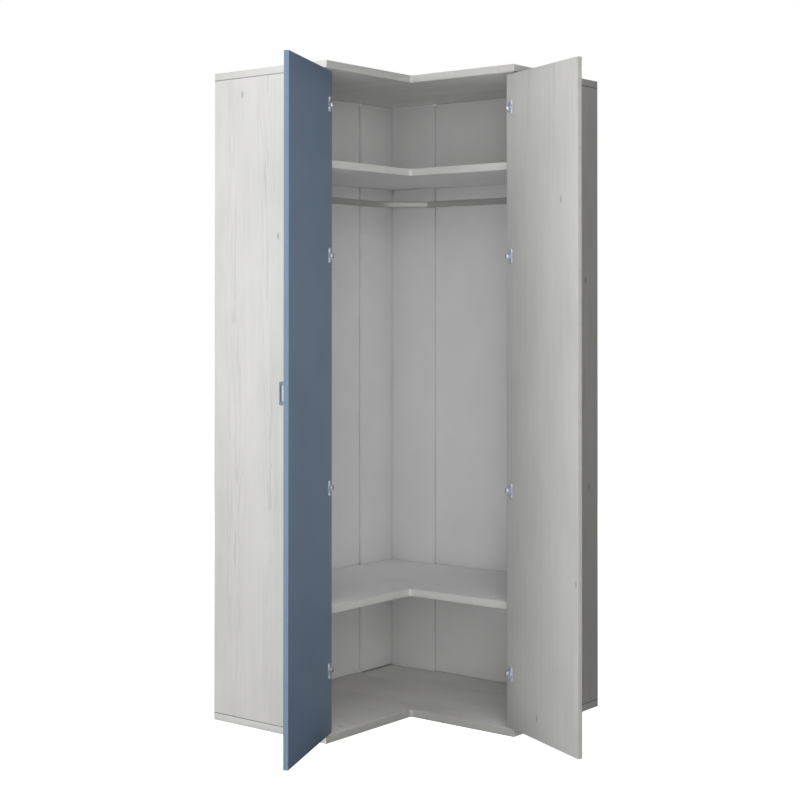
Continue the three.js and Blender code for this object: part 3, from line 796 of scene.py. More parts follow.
@dataclass
class Carcass:
    """The body of the wardrobe: caps, sides, shelves, corner boards and backs."""

    palette: Palette
    inner_corner_radius: float = 10 * MM
    edge_radius: float = 1.2 * MM
    upright_edge_radius: float = 0.5 * MM
    sheet_edge_radius: float = 1.6 * MM
    corner_steps: int = 8
    level_limit: float = 0.99
    upright_limit: float = 0.1
    body: str = "cabinet"

    def build(self) -> None:
        """Builds every board of the body."""
        self.cap("top_board", "top_panel", self.palette.white_band)
        # The base's front wears the darkest copy of the band, painted shade.
        self.cap("base_board", "base_panel", self.palette.base_band)
        self.side("left_side_board", "left_side_panel", self.palette.left_side, Vector((0, 1, 0)))
        self.side("right_side_board", "right_side_panel", self.palette.right_side, Vector((1, 0, 0)))
        self.shelf("high_shelf_board", "upper_shelf")
        self.shelf("low_shelf_board", "lower_shelf")
        for wing in ("left", "right"):
            upright = self.sheet(f"{wing}_corner_upright", f"{wing}_corner_board", self.upright_edge_radius)
            wear(upright, self.palette.upright)
            put(upright, self.body, "white_wood", f"{wing}_corner_board")
            back = self.sheet(f"{wing}_back_sheet", f"{wing}_back_panel", self.sheet_edge_radius)
            wear(back, self.palette.back)
            put(back, self.body, "back_board", f"{wing}_back_panel")

    def elbow(self, name: str, node: str, depth: float, back: float) -> bpy.types.Object:
        """Models an L-shaped board in a node's place.

        Args:
            name: Name of the piece.
            node: CAD node that it stands for.
            depth: Distance of both fronts from their walls.
            back: Distance of both backs from their walls.

        Returns:
            The new piece, with its inner corner rounded.
        """
        low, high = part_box(node)
        piece = block(name, (back, low.y, low.z), (depth, -back, high.z))
        with editing(piece):
            bpy.ops.mesh.select_all(action="SELECT")
            bpy.ops.mesh.bisect(plane_co=(0, -depth, 0), plane_no=(0, 1, 0))
            pick_faces(piece, lambda centre, normal: normal.x > 0.9 and centre.y > -depth)
            extrude((high.x - depth, 0, 0))
        with editing(piece, "EDGE"):
            corner = Vector((depth, -depth, 0))
            pick_edges(piece, lambda middle, way: abs(way.z) > 0.9 and (middle.xy - corner.xy).length < MM)
            bpy.ops.mesh.bevel(
                offset=self.inner_corner_radius, segments=self.corner_steps, affect="EDGES",
            )
        return piece

    def cap(self, name: str, node: str, band: bpy.types.Material) -> None:
        """Builds the top or the base board.

        Args:
            name: Name of the piece.
            node: CAD node that it stands for.
            band: Material of its front edges.
        """
        low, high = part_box(node)
        piece = self.elbow(name, node, self.front_of_caps(low, high), 0)
        soften(piece, self.edge_radius)
        wear(piece, self.palette.caps, band, self.palette.end_band, self.palette.joint)
        band_edges(piece, lambda normal: abs(normal.z) > 0.7)
        panel_low, panel_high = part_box("left_side_panel")
        seat = high.z if high.z < panel_high.z else low.z
        # The cap's ends wear the lightest copy of the band, painted light; their rounded edges along the seam with
        # a side panel wear the dark copy, painted shade of the seam.
        for polygon in piece.data.polygons:
            reach = self.edge_radius
            if polygon.center.y < low.y + reach or polygon.center.x > high.x - reach:
                joins = abs(polygon.center.z - seat) < reach and self.tilted(polygon.normal)
                polygon.material_index = 3 if joins else 2
        put(piece, self.body, "white_wood", node)

    def tilted(self, normal: Vector) -> bool:
        """Tells whether a face is neither level nor upright, so that it belongs to a rounded edge."""
        return self.upright_limit < abs(normal.z) < self.level_limit

    def front_of_caps(self, low: Vector, high: Vector) -> float:
        """Reads the distance of the caps' fronts from the walls.

        Args:
            low: Lowest corner of the cap's box.
            high: Highest corner of the cap's box.

        Returns:
            The distance.
        """
        node = frame["nodes"]["top_panel"]
        reach = [corner.co.x for corner in node.data.vertices if corner.co.y < low.y + MM]
        return min(max(reach), high.x)

    def shelf(self, name: str, node: str) -> None:
        """Builds a shelf that is stepped round the corner boards.

        Args:
            name: Name of the piece.
            node: CAD node that it stands for.
        """
        low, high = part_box(node)
        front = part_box("left_side_panel")[1].x
        left_low, left_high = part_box("left_corner_board")
        right_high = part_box("right_corner_board")[1]
        piece = self.elbow(name, node, front, left_high.x)
        slot_depth = left_high.x - low.x
        with editing(piece):
            bpy.ops.mesh.select_all(action="SELECT")
            bpy.ops.mesh.bisect(plane_co=(0, left_low.y, 0), plane_no=(0, 1, 0))
            pick_faces(piece, lambda centre, normal: normal.x < -0.9 and centre.y < left_low.y)
            extrude((-slot_depth, 0, 0))
            bpy.ops.mesh.select_all(action="SELECT")
            bpy.ops.mesh.bisect(plane_co=(right_high.x, 0, 0), plane_no=(1, 0, 0))
            pick_faces(piece, lambda centre, normal: normal.y > 0.9 and centre.x > right_high.x)
            extrude((0, slot_depth, 0))
        soften(piece, self.edge_radius)
        wear(piece, self.palette.interior, self.palette.plain_band)
        band_edges(piece, lambda normal: abs(normal.z) > 0.7)
        put(piece, self.body, "white_wood", node)

    def side(self, name: str, node: str, decor: bpy.types.Material, across: Vector) -> None:
        """Builds a side board with its front edge banded.

        Args:
            name: Name of the piece.
            node: CAD node that it stands for.
            decor: Material of its broad faces.
            across: Direction of its thickness.
        """
        low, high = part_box(node)
        piece = block(name, low, high)
        soften(piece, self.edge_radius)
        wear(piece, decor, self.palette.white_band, self.palette.joint)
        band_edges(piece, lambda normal: abs(normal.dot(across)) > 0.7)
        # The rounded top and bottom edges, along the seams with the caps, wear the dark copy of the band: painted
        # shade of the seam.
        for polygon in piece.data.polygons:
            if self.tilted(polygon.normal):
                polygon.material_index = 2
        put(piece, self.body, "white_wood", node)

    def sheet(self, name: str, node: str, radius: float) -> bpy.types.Object:
        """Models a corner board or a thin back, whose round edges leave fine grooves at the joints, darkened by
        real shade and by the painted shade in its material.

        Args:
            name: Name of the piece.
            node: CAD node that gives its place.
            radius: Radius of its edges.

        Returns:
            The new piece.
        """
        piece = block(name, *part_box(node))
        soften(piece, radius)
        return piece


@dataclass
class ClothesRail:
    """The clothes rail in two lengths, and the two sockets that hold its ends."""

    palette: Palette
    bend_angle: float = math.radians(53.13)
    bend_radius: float = 100 * MM
    bend_offset: float = 145 * MM
    socket_floor: float = 3 * MM
    socket_play: float = 0.4 * MM
    profile_steps: int = 40
    bend_steps: int = 28
    body: str = "cabinet"
    width: float = field(init=False)
    height: float = field(init=False)
    line: float = field(init=False)
    middle: float = field(init=False)

    def __post_init__(self) -> None:
        """Reads the rail's section and line from the frame."""
        low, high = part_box("straight_rail")
        self.height = high.z - low.z
        self.middle = (high.z + low.z) / 2
        self.line = -(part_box("right_rail_socket")[0].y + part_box("right_rail_socket")[1].y) / 2
        self.width = 2 * (high.y + self.line)

    def profile(
        self, name: str, centre: Vector, axis: Vector, grow: float, straight: float,
    ) -> bpy.types.Object:
        """Adds the rail's flat-sided section as a face.

        Args:
            name: Name of the piece.
            centre: Middle of the section.
            axis: Direction of the rail there.
            grow: Distance by which the section is larger than the rail's.
            straight: Height of its straight flanks.

        Returns:
            The new piece, a single face.
        """
        deselect_all()
        turn = UP.rotation_difference(axis).to_euler()
        bpy.ops.mesh.primitive_circle_add(
            vertices=self.profile_steps, radius=self.width / 2 + grow, fill_type="NGON",
            location=centre, rotation=turn,
        )
        piece = bpy.context.object
        piece.name = name
        bpy.ops.object.transform_apply(location=True, rotation=True, scale=True)
        half_step = math.pi / self.profile_steps
        with editing(piece, "VERT"):
            bpy.ops.mesh.select_all(action="SELECT")
            bpy.ops.transform.rotate(
                value=half_step, orient_axis="XYZ"[[abs(part) > 0.5 for part in axis].index(True)],
                center_override=centre,
            )
            for sign in (1, -1):
                bpy.ops.mesh.select_all(action="DESELECT")
                mesh = bmesh.from_edit_mesh(piece.data)
                for corner in mesh.verts:
                    corner.select_set(sign * (corner.co.z - centre.z) > 0)
                bmesh.update_edit_mesh(piece.data)
                bpy.ops.transform.translate(value=(0, 0, sign * straight / 2))
        return piece

    def build(self) -> None:
        """Builds both lengths and both sockets."""
        bent_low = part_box("bent_rail")[0]
        junction = self.junction()
        heading = Vector((math.sin(self.bend_angle), math.cos(self.bend_angle), 0))
        mitre = (heading + Vector((1, 0, 0))).normalized()
        flanks = self.height - self.width

        start = Vector((self.line, bent_low.y, self.middle))
        bent = self.profile("bent_rail_tube", start, Vector((0, 1, 0)), 0, flanks)
        bend_start = -self.line - self.bend_offset
        with editing(bent):
            bpy.ops.mesh.select_all(action="SELECT")
            extrude((0, bend_start - start.y, 0))
            # The spin tool counts clockwise turns as positive.
            bpy.ops.mesh.spin(
                steps=self.bend_steps, angle=self.bend_angle,
                center=(self.line + self.bend_radius, bend_start, self.middle), axis=(0, 0, 1),
            )
            arc_end = Vector((
                self.line + self.bend_radius * (1 - math.cos(self.bend_angle)),
                bend_start + self.bend_radius * math.sin(self.bend_angle), self.middle,
            ))
            extrude(heading * ((junction - arc_end).length + self.width))
        self.close(bent, junction, mitre)
        put(bent, self.body, "rail_metal", "bent_rail")

        end = Vector((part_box("straight_rail")[1].x, -self.line, self.middle))
        straight = self.profile("straight_rail_tube", end, Vector((1, 0, 0)), 0, flanks)
        with editing(straight):
            bpy.ops.mesh.select_all(action="SELECT")
            extrude((junction.x - self.width - end.x, 0, 0))
        self.close(straight, junction, -mitre)
        put(straight, self.body, "rail_metal", "straight_rail")

        self.socket("left_rail_cup", "left_rail_socket", Vector((0, -1, 0)))
        self.socket("right_rail_cup", "right_rail_socket", Vector((1, 0, 0)))

    def junction(self) -> Vector:
        """Finds where the lines of the two lengths meet.

        Returns:
            The point.
        """
        end = Vector((
            self.line + self.bend_radius * (1 - math.cos(self.bend_angle)),
            -self.line - self.bend_offset + self.bend_radius * math.sin(self.bend_angle), self.middle,
        ))
        run = (-self.line - end.y) / math.cos(self.bend_angle)
        return end + Vector((math.sin(self.bend_angle), math.cos(self.bend_angle), 0)) * run

    def close(self, piece: bpy.types.Object, junction: Vector, direction: Vector) -> None:
        """Cuts a length of rail on the mitre and dresses it.

        Args:
            piece: Length of rail, longer than needed.
            junction: Point on the mitre.
            direction: Normal of the mitre, towards the waste.
        """
        with editing(piece):
            bpy.ops.mesh.select_all(action="SELECT")
            bpy.ops.mesh.bisect(plane_co=junction, plane_no=direction, use_fill=True, clear_outer=True)
            bpy.ops.mesh.select_all(action="SELECT")
            bpy.ops.mesh.remove_doubles(threshold=0.01 * MM)
            bpy.ops.mesh.normals_make_consistent(inside=False)
        activate(piece)
        bpy.ops.object.shade_smooth_by_angle(angle=SMOOTH_ANGLE)
        wear(piece, self.palette.rail)

    def socket(self, name: str, node: str, outward: Vector) -> None:
        """Builds the socket that holds one end of the rail.

        Args:
            name: Name of the piece.
            node: CAD node that it stands for.
            outward: Direction from the rail's end to the wall of the body.
        """
        low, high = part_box(node)
        size = high - low
        depth = abs(size.dot(outward))
        width = size.x + size.y - depth
        wall_side = (low + high) / 2 + outward * depth / 2
        grow = (width - self.width) / 2
        piece = self.profile(name, wall_side, outward, grow, size.z - width)
        with editing(piece):
            bpy.ops.mesh.select_all(action="SELECT")
            extrude(-outward * depth)
            bpy.ops.mesh.select_all(action="SELECT")
            bpy.ops.mesh.normals_make_consistent(inside=False)
        mouth = wall_side - outward * (depth + MM)
        pocket = self.profile("pocket", mouth, outward, self.socket_play, self.height - self.width)
        with editing(pocket):
            bpy.ops.mesh.select_all(action="SELECT")
            extrude(outward * (depth + MM - self.socket_floor))
            bpy.ops.mesh.select_all(action="SELECT")
            bpy.ops.mesh.normals_make_consistent(inside=False)
        combine(piece, pocket, "DIFFERENCE")
        soften(piece, 0.8 * MM, 3)
        wear(piece, self.palette.socket)
        put(piece, self.body, "socket_plastic", node)


@dataclass
class HingeParts:
    """The four parts of a concealed hinge and its screws, modelled once and copied to every place.

    Arm, plate and link use the side panel's plan: x inward from its outer face, y forward from its front
    edge. The cup uses the door's plan: x from its hinge edge, y into the door from its inner face.
    """

    palette: Palette
    panel: float
    overlay: float
    arm_pivot: Vector
    cup_pin: Vector
    turn: float
    cup_inset: float = 6 * MM
    cup_radius: float = 17.3 * MM
    cup_wall: float = 1.3 * MM
    cup_depth: float = 13.7 * MM
    cup_floor: float = 0.7 * MM
    # Cuts run past flush faces by this much.
    overrun: float = 0.04 * MM
    lip: float = 0.8 * MM
    lip_width: float = 1.3 * MM
    flange_before: float = 4.5 * MM
    flange_after: float = 13.5 * MM
    flange_height: float = 50 * MM
    flange_thickness: float = 3 * MM
    flange_round: float = 6 * MM
    cup_screw_rise: float = 21 * MM
    notch: float = 8.2 * MM
    spine_rise: float = 11.5 * MM
    spine_back: float = 66 * MM
    spine_front: float = 16 * MM
    spine_half: float = 5.4 * MM
    plate_line: float = 37 * MM
    plate_half_width: float = 10 * MM
    plate_half_height: float = 26 * MM
    plate_thickness: float = 2.5 * MM
    plate_screw_rise: float = 16 * MM
    web: float = 2 * MM
    cheek_inner: float = 6 * MM
    cheek_outer: float = 8 * MM
    cheek_lift: float = 3 * MM
    arm_back: float = 70 * MM
    arm_front: float = 14 * MM
    arm_screw_lines: tuple[float, float] = (27 * MM, 56 * MM)
    nose: float = 2.4 * MM
    link_half_height: float = 5 * MM
    knuckle_half_height: float = 7 * MM
    knuckle_first_bend: int = 1
    link_thickness: float = 2.6 * MM
    door_eye: float = 1.7 * MM
    # Bends of the closed link from the arm pivot, as shares of its reach.
    link_shares: tuple[tuple[float, float], ...] = (
        (0, 0), (-0.206, 0.117), (-0.404, 0.23), (-0.591, 0.322), (-0.79, 0.35), (-0.955, 0.335),
        (-1.04, 0.25), (-1.055, 0.115),
    )

    def screw(self, centre: Vector, axis: Vector, radius: float, height: float) -> bpy.types.Object:
        """Models a screw head with a cross recess.

        Args:
            centre: Middle of the head's underside.
            axis: Direction in which the head faces.
            radius: Radius of the head.
            height: Height of the head.

        Returns:
            The new piece.
        """
        head = disc("screw", centre + axis * height / 2, radius, height, axis, 32)
        soften(head, height * 0.35, 3)
        reach = radius * 0.55
        half = radius * 0.13
        level = Vector((1, 0, 0)) if abs(axis.y) > 0.5 else Vector((0, 1, 0))
        for along, across in ((level, UP), (UP, level)):
            extent = along * reach + across * half + axis * height
            extent = Vector(abs(part) for part in extent)
            middle = centre + axis * height * 1.4
            combine(head, block("recess", middle - extent, middle + extent), "DIFFERENCE")
        return head

    def attach(self, piece: bpy.types.Object, *extras: bpy.types.Object) -> None:
        """Joins small extras to a piece as one object."""
        activate(piece, *extras)
        bpy.ops.object.join()

    def cup(self) -> bpy.types.Object:
        """Models the drawn cup with its lip, flange, pin and two screws.

        Returns:
            The new piece.
        """
        centre = Vector((self.overlay + self.cup_inset, 0, 0))
        into = Vector((0, 1, 0))
        cup = disc("cup", centre + into * self.cup_depth / 2, self.cup_radius, self.cup_depth, into, 64)
        soften(cup, 1.5 * MM, 4)
        rim = disc("rim", centre - into * self.lip / 2, self.cup_radius + self.lip_width, self.lip, into, 64)
        with editing(rim, "EDGE"):
            pick_edges(rim, lambda middle, way: middle.y < -self.lip * 0.9 and abs(way.y) < 0.1)
            bpy.ops.mesh.bevel(offset=self.lip * 0.7, segments=3, affect="EDGES")
        combine(cup, rim, "UNION")
        half = self.flange_height / 2
        flange = block(
            "flange",
            (centre.x - self.flange_before, -self.flange_thickness, -half),
            (centre.x + self.flange_after, 0, half),
        )
        with editing(flange, "EDGE"):
            pick_edges(flange, lambda middle, way: abs(way.y) > 0.9)
            bpy.ops.mesh.bevel(offset=self.flange_round, segments=6, affect="EDGES")
            pick_edges(flange, lambda middle, way: middle.y < -self.flange_thickness * 0.9)
            bpy.ops.mesh.bevel(offset=self.flange_thickness * 0.7, segments=5, affect="EDGES")
        combine(cup, flange, "UNION")
        inner = self.cup_radius - self.cup_wall
        bottom = self.cup_depth - self.cup_floor
        hollow = disc("hollow", centre + into * (bottom - 10 * MM), inner, 20 * MM, into, 64)
        combine(cup, hollow, "DIFFERENCE")
        reach = Vector((centre.x + self.lip, self.cup_depth, self.notch))
        slot = block(
            "slot", centre - reach, Vector((centre.x * 2 + self.lip, self.overrun, self.notch)),
        )
        combine(cup, slot, "DIFFERENCE")
        activate(cup)
        bpy.ops.object.shade_smooth_by_angle(angle=SMOOTH_ANGLE)
        span = math.sqrt(inner ** 2 - (centre.x - self.cup_pin.x) ** 2) + 1 * MM
        pin = disc("pin", self.cup_pin, 0.8 * MM, span * 2, UP, 20)
        screws = [
            self.screw(
                centre + Vector((self.flange_after / 2, -self.flange_thickness, sign * self.cup_screw_rise)),
                -into, 3.6 * MM, 0.9 * MM,
            )
            for sign in (-1, 1)
        ]
        self.attach(cup, pin, *screws)
        # The cup wears the lighter copy of the nickel, a painted highlight.
        wear(cup, self.palette.bright_nickel)
        return cup

    def plate(self) -> bpy.types.Object:
        """Models the mounting plate with its spine and two screws.

        Returns:
            The new piece.
        """
        face = self.panel + self.plate_thickness
        wings = block(
            "plate",
            (self.panel, -self.plate_line - self.plate_half_width, -self.plate_half_height),
            (face, -self.plate_line + self.plate_half_width, self.plate_half_height),
        )
        with editing(wings, "EDGE"):
            pick_edges(wings, lambda middle, way: abs(way.x) > 0.9)
            bpy.ops.mesh.bevel(offset=5 * MM, segments=6, affect="EDGES")
        spine = block(
            "spine",
            (self.panel, -self.spine_back, -self.spine_half),
            (self.panel + self.spine_rise, -self.spine_front, self.spine_half),
        )
        combine(wings, spine, "UNION")
        soften(wings, 0.5 * MM, 2)
        screws = [
            self.screw(
                Vector((face, -self.plate_line, sign * self.plate_screw_rise)), Vector((1, 0, 0)),
                4 * MM, 1.4 * MM,
            )
            for sign in (-1, 1)
        ]
        self.attach(wings, *screws)
        wear(wings, self.palette.nickel)
        return wings

    def arm(self) -> bpy.types.Object:
        """Models the pressed arm: a channel over the spine whose cheeks run forward to the arm pin.

        Returns:
            The new piece.
        """
        top = self.panel + self.spine_rise + self.web
        arm = block(
            "arm", (self.panel + self.cheek_lift, -self.arm_back, -self.cheek_outer),
            (top, -self.arm_front, self.cheek_outer),
        )
        pivot = self.arm_pivot
        with editing(arm):
            pick_faces(arm, lambda centre, normal: normal.y > 0.9)
            extrude((0, self.arm_front, 0))
        with editing(arm, "VERT"):
            low = self.panel + self.cheek_lift
            for start, end in ((low, pivot.x - self.nose * 2), (top, pivot.x + self.nose)):
                bpy.ops.mesh.select_all(action="DESELECT")
                mesh = bmesh.from_edit_mesh(arm.data)
                for corner in mesh.verts:
                    corner.select_set(abs(corner.co.y) < MM / 10 and abs(corner.co.x - start) < MM / 10)
                bmesh.update_edit_mesh(arm.data)
                bpy.ops.transform.translate(value=(end - start, 0, 0))
        with editing(arm):
            pick_faces(arm, lambda centre, normal: normal.y > 0.5 and centre.y > -MM)
            extrude((self.nose / 2, pivot.y, 0))
        nose = disc("nose", pivot, self.nose, self.cheek_outer * 2, UP, 32)
        trim = block(
            "trim", (pivot.x - self.nose * 3, pivot.y, -self.cheek_outer * 2),
            (pivot.x + self.nose * 3, pivot.y + self.nose * 4, self.cheek_outer * 2),
        )
        combine(arm, trim, "DIFFERENCE")
        combine(arm, nose, "UNION")
        soften(arm, 0.9 * MM, 3)
        channel = block(
            "channel", (0, -self.arm_back - MM, -self.cheek_inner),
            (self.panel + self.spine_rise, -self.arm_front + MM, self.cheek_inner),
        )
        combine(arm, channel, "DIFFERENCE")
        fork = block(
            "fork", (0, -self.arm_front, -self.cheek_inner - self.overrun),
            (pivot.x * 2, pivot.y * 4, self.cheek_inner + self.overrun),
        )
        combine(arm, fork, "DIFFERENCE")
        activate(arm)
        bpy.ops.object.shade_smooth_by_angle(angle=SMOOTH_ANGLE)
        pin = disc("pin", pivot, 1 * MM, self.cheek_outer * 2, UP, 20)
        screws = [
            self.screw(Vector((top, -line, 0)), Vector((1, 0, 0)), 3.4 * MM, 0.9 * MM)
            for line in self.arm_screw_lines
        ]
        self.attach(arm, pin, *screws)
        wear(arm, self.palette.nickel)
        return arm

    def link(self) -> bpy.types.Object:
        """Models the bent link in its open place, with a rolled eye at each end.

        Returns:
            The new piece.
        """
        gap = self.panel - self.overlay
        closed_pin = self.cup_pin + Vector((gap, gap, 0))
        reach = self.arm_pivot.x - closed_pin.x
        path = [self.arm_pivot + Vector((x * reach, y * reach, 0)) for x, y in self.link_shares]
        path.append(closed_pin)
        about = Matrix.Translation(self.arm_pivot) @ Matrix.Rotation(-self.turn, 4, "Z")
        about = about @ Matrix.Translation(-self.arm_pivot)
        path = [about @ point for point in path]
        deselect_all()
        half = self.link_half_height
        # The strap grows from one upright edge of a plane, a metre behind its middle at first.
        bpy.ops.mesh.primitive_plane_add(size=2, rotation=(0, math.radians(90), 0))
        strap = bpy.context.object
        strap.name = "link"
        bpy.ops.object.transform_apply(location=True, rotation=True, scale=True)
        with editing(strap, "EDGE"):
            pick_edges(strap, lambda middle, way: middle.y > -0.5)
            bpy.ops.mesh.delete(type="EDGE")
            bpy.ops.mesh.select_all(action="SELECT")
            bpy.ops.transform.resize(value=(1, 1, half), center_override=(0, 0, 0))
            bpy.ops.transform.translate(value=path[0] + Vector((0, 1, 0)))
        taller = self.knuckle_half_height / half
        with editing(strap, "EDGE"):
            bpy.ops.mesh.select_all(action="SELECT")
            for bend, (here, there) in enumerate(zip(path, path[1:])):
                extrude(there - here)
                if bend == self.knuckle_first_bend:
                    bpy.ops.transform.resize(value=(1, 1, taller), center_override=there)
        modify(strap, "SOLIDIFY", thickness=self.link_thickness, offset=0.0, use_even_offset=True)
        with editing(strap):
            bpy.ops.mesh.select_all(action="SELECT")
            bpy.ops.mesh.normals_make_consistent(inside=False)
        soften(strap, 0.5 * MM, 2)
        eyes = [
            disc("eye", path[0], self.nose, half * 2, UP, 32),
            disc("eye", path[-1], self.door_eye, self.knuckle_half_height * 2, UP, 32),
        ]
        for eye in eyes:
            soften(eye, 0.3 * MM, 2)
        self.attach(strap, *eyes)
        wear(strap, self.palette.nickel)
        return strap


@dataclass
class Doorway:
    """One wing's door with its four hinges, and its handle where the frame has one."""

    side: Side
    palette: Palette
    thickness: float = 16 * MM
    edge_radius: float = 1.0 * MM
    bore_inset: float = 22.5 * MM
    bore_radius: float = 17.6 * MM
    bore_depth: float = 13.9 * MM
    handle_strap: float = 5 * MM
    handle_leg: float = 12 * MM
    handle_round: float = 4 * MM
    handle_inner_round: float = 1 * MM
    handle_palm_round: float = 3.5 * MM
    hinge_count: int = 4
    door_gap: float = 1.5 * MM
    edge: Vector = field(init=False)
    along: Vector = field(init=False)
    outward: Vector = field(init=False)
    width: float = field(init=False)
    heights: list[float] = field(init=False)
    swing: float = field(init=False)
    link_turn: float = field(init=False)

    def __post_init__(self) -> None:
        """Reads the door's place and its opening angle from the frame."""
        joints = {joint["name"]: joint for joint in frame["joints"]}
        swing = joints[f"{self.side.value}_door_swing"]
        link = joints[f"{self.side.value}_link_turn"]
        ratio = next(
            row["ratio"] for row in frame["record"]["behaviour"]["couplings"] if row["joint"] == link["name"]
        )
        self.link_turn = math.radians(swing["range_deg"][1] * ratio)
        self.swing = math.radians(swing["range_deg"][1]) - self.link_turn
        cosine, sine = math.cos(self.swing), math.sin(self.swing)
        low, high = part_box(f"{self.side.value}_door")
        if self.side is Side.LEFT:
            self.along = Vector((sine, cosine, 0))
            self.outward = Vector((cosine, -sine, 0))
            self.edge = Vector((low.x - self.thickness * cosine, high.y, 0))
            self.width = (high.x - self.edge.x) / sine
        else:
            self.along = Vector((-cosine, -sine, 0))
            self.outward = Vector((sine, -cosine, 0))
            self.edge = Vector((low.x, high.y + self.thickness * cosine, 0))
            self.width = (self.edge.y - low.y) / sine
        cups = [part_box(f"{self.side.value}_hinge_cup_{number}") for number in range(1, self.hinge_count + 1)]
        self.heights = [(lowest.z + highest.z) / 2 for lowest, highest in cups]

    def door_place(self, height: float) -> Matrix:
        """Matrix from the door's plan to the room, at a height."""
        return self.turned(self.along, self.outward, Vector((self.edge.x, self.edge.y, height)))

    def panel_place(self, height: float) -> Matrix:
        """Finds the matrix from the side panel's plan to the room.

        Args:
            height: Height of the plan above the floor.

        Returns:
            The matrix.
        """
        low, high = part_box(f"{self.side.value}_side_panel")
        if self.side is Side.LEFT:
            return self.turned(Vector((0, 1, 0)), Vector((1, 0, 0)), Vector((high.x, low.y, height)))
        return self.turned(Vector((-1, 0, 0)), Vector((0, -1, 0)), Vector((high.x, low.y, height)))

    def turned(self, first: Vector, second: Vector, origin: Vector) -> Matrix:
        """Makes a right-handed placing matrix; the left wing's stands on its head.

        Args:
            first: Where the plan's x axis points.
            second: Where the plan's y axis points.
            origin: Where the plan's origin lies.

        Returns:
            The matrix.
        """
        third = first.cross(second)
        matrix = Matrix((first, second, third)).transposed().to_4x4()
        matrix.translation = origin
        return matrix

    def build(self, parts: dict[str, bpy.types.Object]) -> None:
        """Builds the leaf and its handle, and places a copy of every hinge part at each height.

        Args:
            parts: Finished hinge parts by name, around their own plans.
        """
        name = self.side.value
        leaf_body, link_body = f"{name}_leaf", f"{name}_links"
        self.leaf(leaf_body)
        if f"{name}_handle" in frame["nodes"]:
            self.handle(leaf_body)
        for number, height in enumerate(self.heights, 1):
            for part, body, place in (
                ("cup", leaf_body, self.door_place(height)),
                ("link", link_body, self.panel_place(height)),
                ("arm", "cabinet", self.panel_place(height)),
                ("plate", "cabinet", self.panel_place(height)),
            ):
                piece = parts[part].copy()
                piece.data = parts[part].data.copy()
                piece.name = f"{name}_{part}_{number}_nickel"
                bpy.context.collection.objects.link(piece)
                piece.data.transform(place)
                put(piece, body, "nickel", f"{name}_hinge_{part}_{number}")

    def leaf(self, body: str) -> None:
        """Builds the door leaf with its four cup bores.

        Args:
            body: Body that carries it.
        """
        low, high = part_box(f"{self.side.value}_door")
        middle = (low.z + high.z) / 2
        half = (high.z - low.z) / 2
        leaf = block(f"{self.side.value}_door_leaf", (0, 0, -half), (self.width, self.thickness, half))
        soften(leaf, self.edge_radius, 3)
        place = self.door_place(middle)
        leaf.data.transform(place)
        for height in self.heights:
            centre = self.door_place(height) @ Vector((self.bore_inset, 0, 0))
            bore = disc("bore", centre, self.bore_radius, self.bore_depth * 2, self.outward, 64)
            combine(leaf, bore, "DIFFERENCE")
        blue = self.side is Side.LEFT
        decor = self.palette.blue_door if blue else self.palette.white_door
        wear(leaf, decor, self.palette.blue_band if blue else self.palette.door_band)
        band_edges(leaf, lambda normal: abs(normal.dot(self.outward)) > 0.7)
        activate(leaf)
        bpy.ops.object.shade_smooth_by_angle(angle=SMOOTH_ANGLE)
        put(leaf, body, "blue_board" if blue else "white_wood", f"{self.side.value}_door")

    def handle(self, body: str) -> None:
        """Builds the bridge handle from its strap, with a leg drawn from each end.

        Args:
            body: Body that carries it.
        """
        node = f"{self.side.value}_handle"
        low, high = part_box(node)
        half = (high.z - low.z) / 2
        spread = (high - low).xy
        # The box of the turned handle gives its reach and its width.
        cosine, sine = abs(self.outward.x), abs(self.outward.y)
        reach = (spread.x * cosine - spread.y * sine) / (cosine ** 2 - sine ** 2)
        width = (spread.y * cosine - spread.x * sine) / (cosine ** 2 - sine ** 2)
        middle = (low + high) / 2
        foot = middle - self.outward * reach / 2
        place = self.turned(self.along, self.outward, foot)
        inner = reach - self.handle_strap
        grip = block(f"{node}_grip", (-width / 2, inner, -half), (width / 2, reach, half))
        with editing(grip):
            for sign in (-1, 1):
                bpy.ops.mesh.select_all(action="SELECT")
                bpy.ops.mesh.bisect(
                    plane_co=(0, 0, sign * (half - self.handle_leg)), plane_no=(0, 0, 1),
                )
            pick_faces(
                grip, lambda centre, normal: normal.y < -0.9 and abs(centre.z) > half - self.handle_leg,
            )
            extrude((0, -inner, 0))
        with editing(grip, "EDGE"):
            pick_edges(
                grip, lambda point, way: abs(way.z) > 0.9 and abs(point.y - inner) < MM / 2
                and abs(point.z) < half - self.handle_leg,
            )
            bpy.ops.mesh.bevel(offset=self.handle_palm_round, segments=6, affect="EDGES")
        with editing(grip, "EDGE"):
            pick_edges(
                grip, lambda point, way: abs(way.x) > 0.9 and point.y > reach - MM
                and abs(point.z) > half - MM,
            )
            bpy.ops.mesh.bevel(offset=self.handle_round, segments=8, affect="EDGES")
            pick_edges(
                grip, lambda point, way: abs(way.x) > 0.9 and abs(point.y - inner) < MM / 2
                and abs(abs(point.z) - half + self.handle_leg) < MM / 2,
            )
            bpy.ops.mesh.bevel(offset=self.handle_inner_round, segments=4, affect="EDGES")
        soften(grip, 0.7 * MM, 3)
        grip.data.transform(place)
        wear(grip, self.palette.handle)
        put(grip, body, "handle_metal", node)


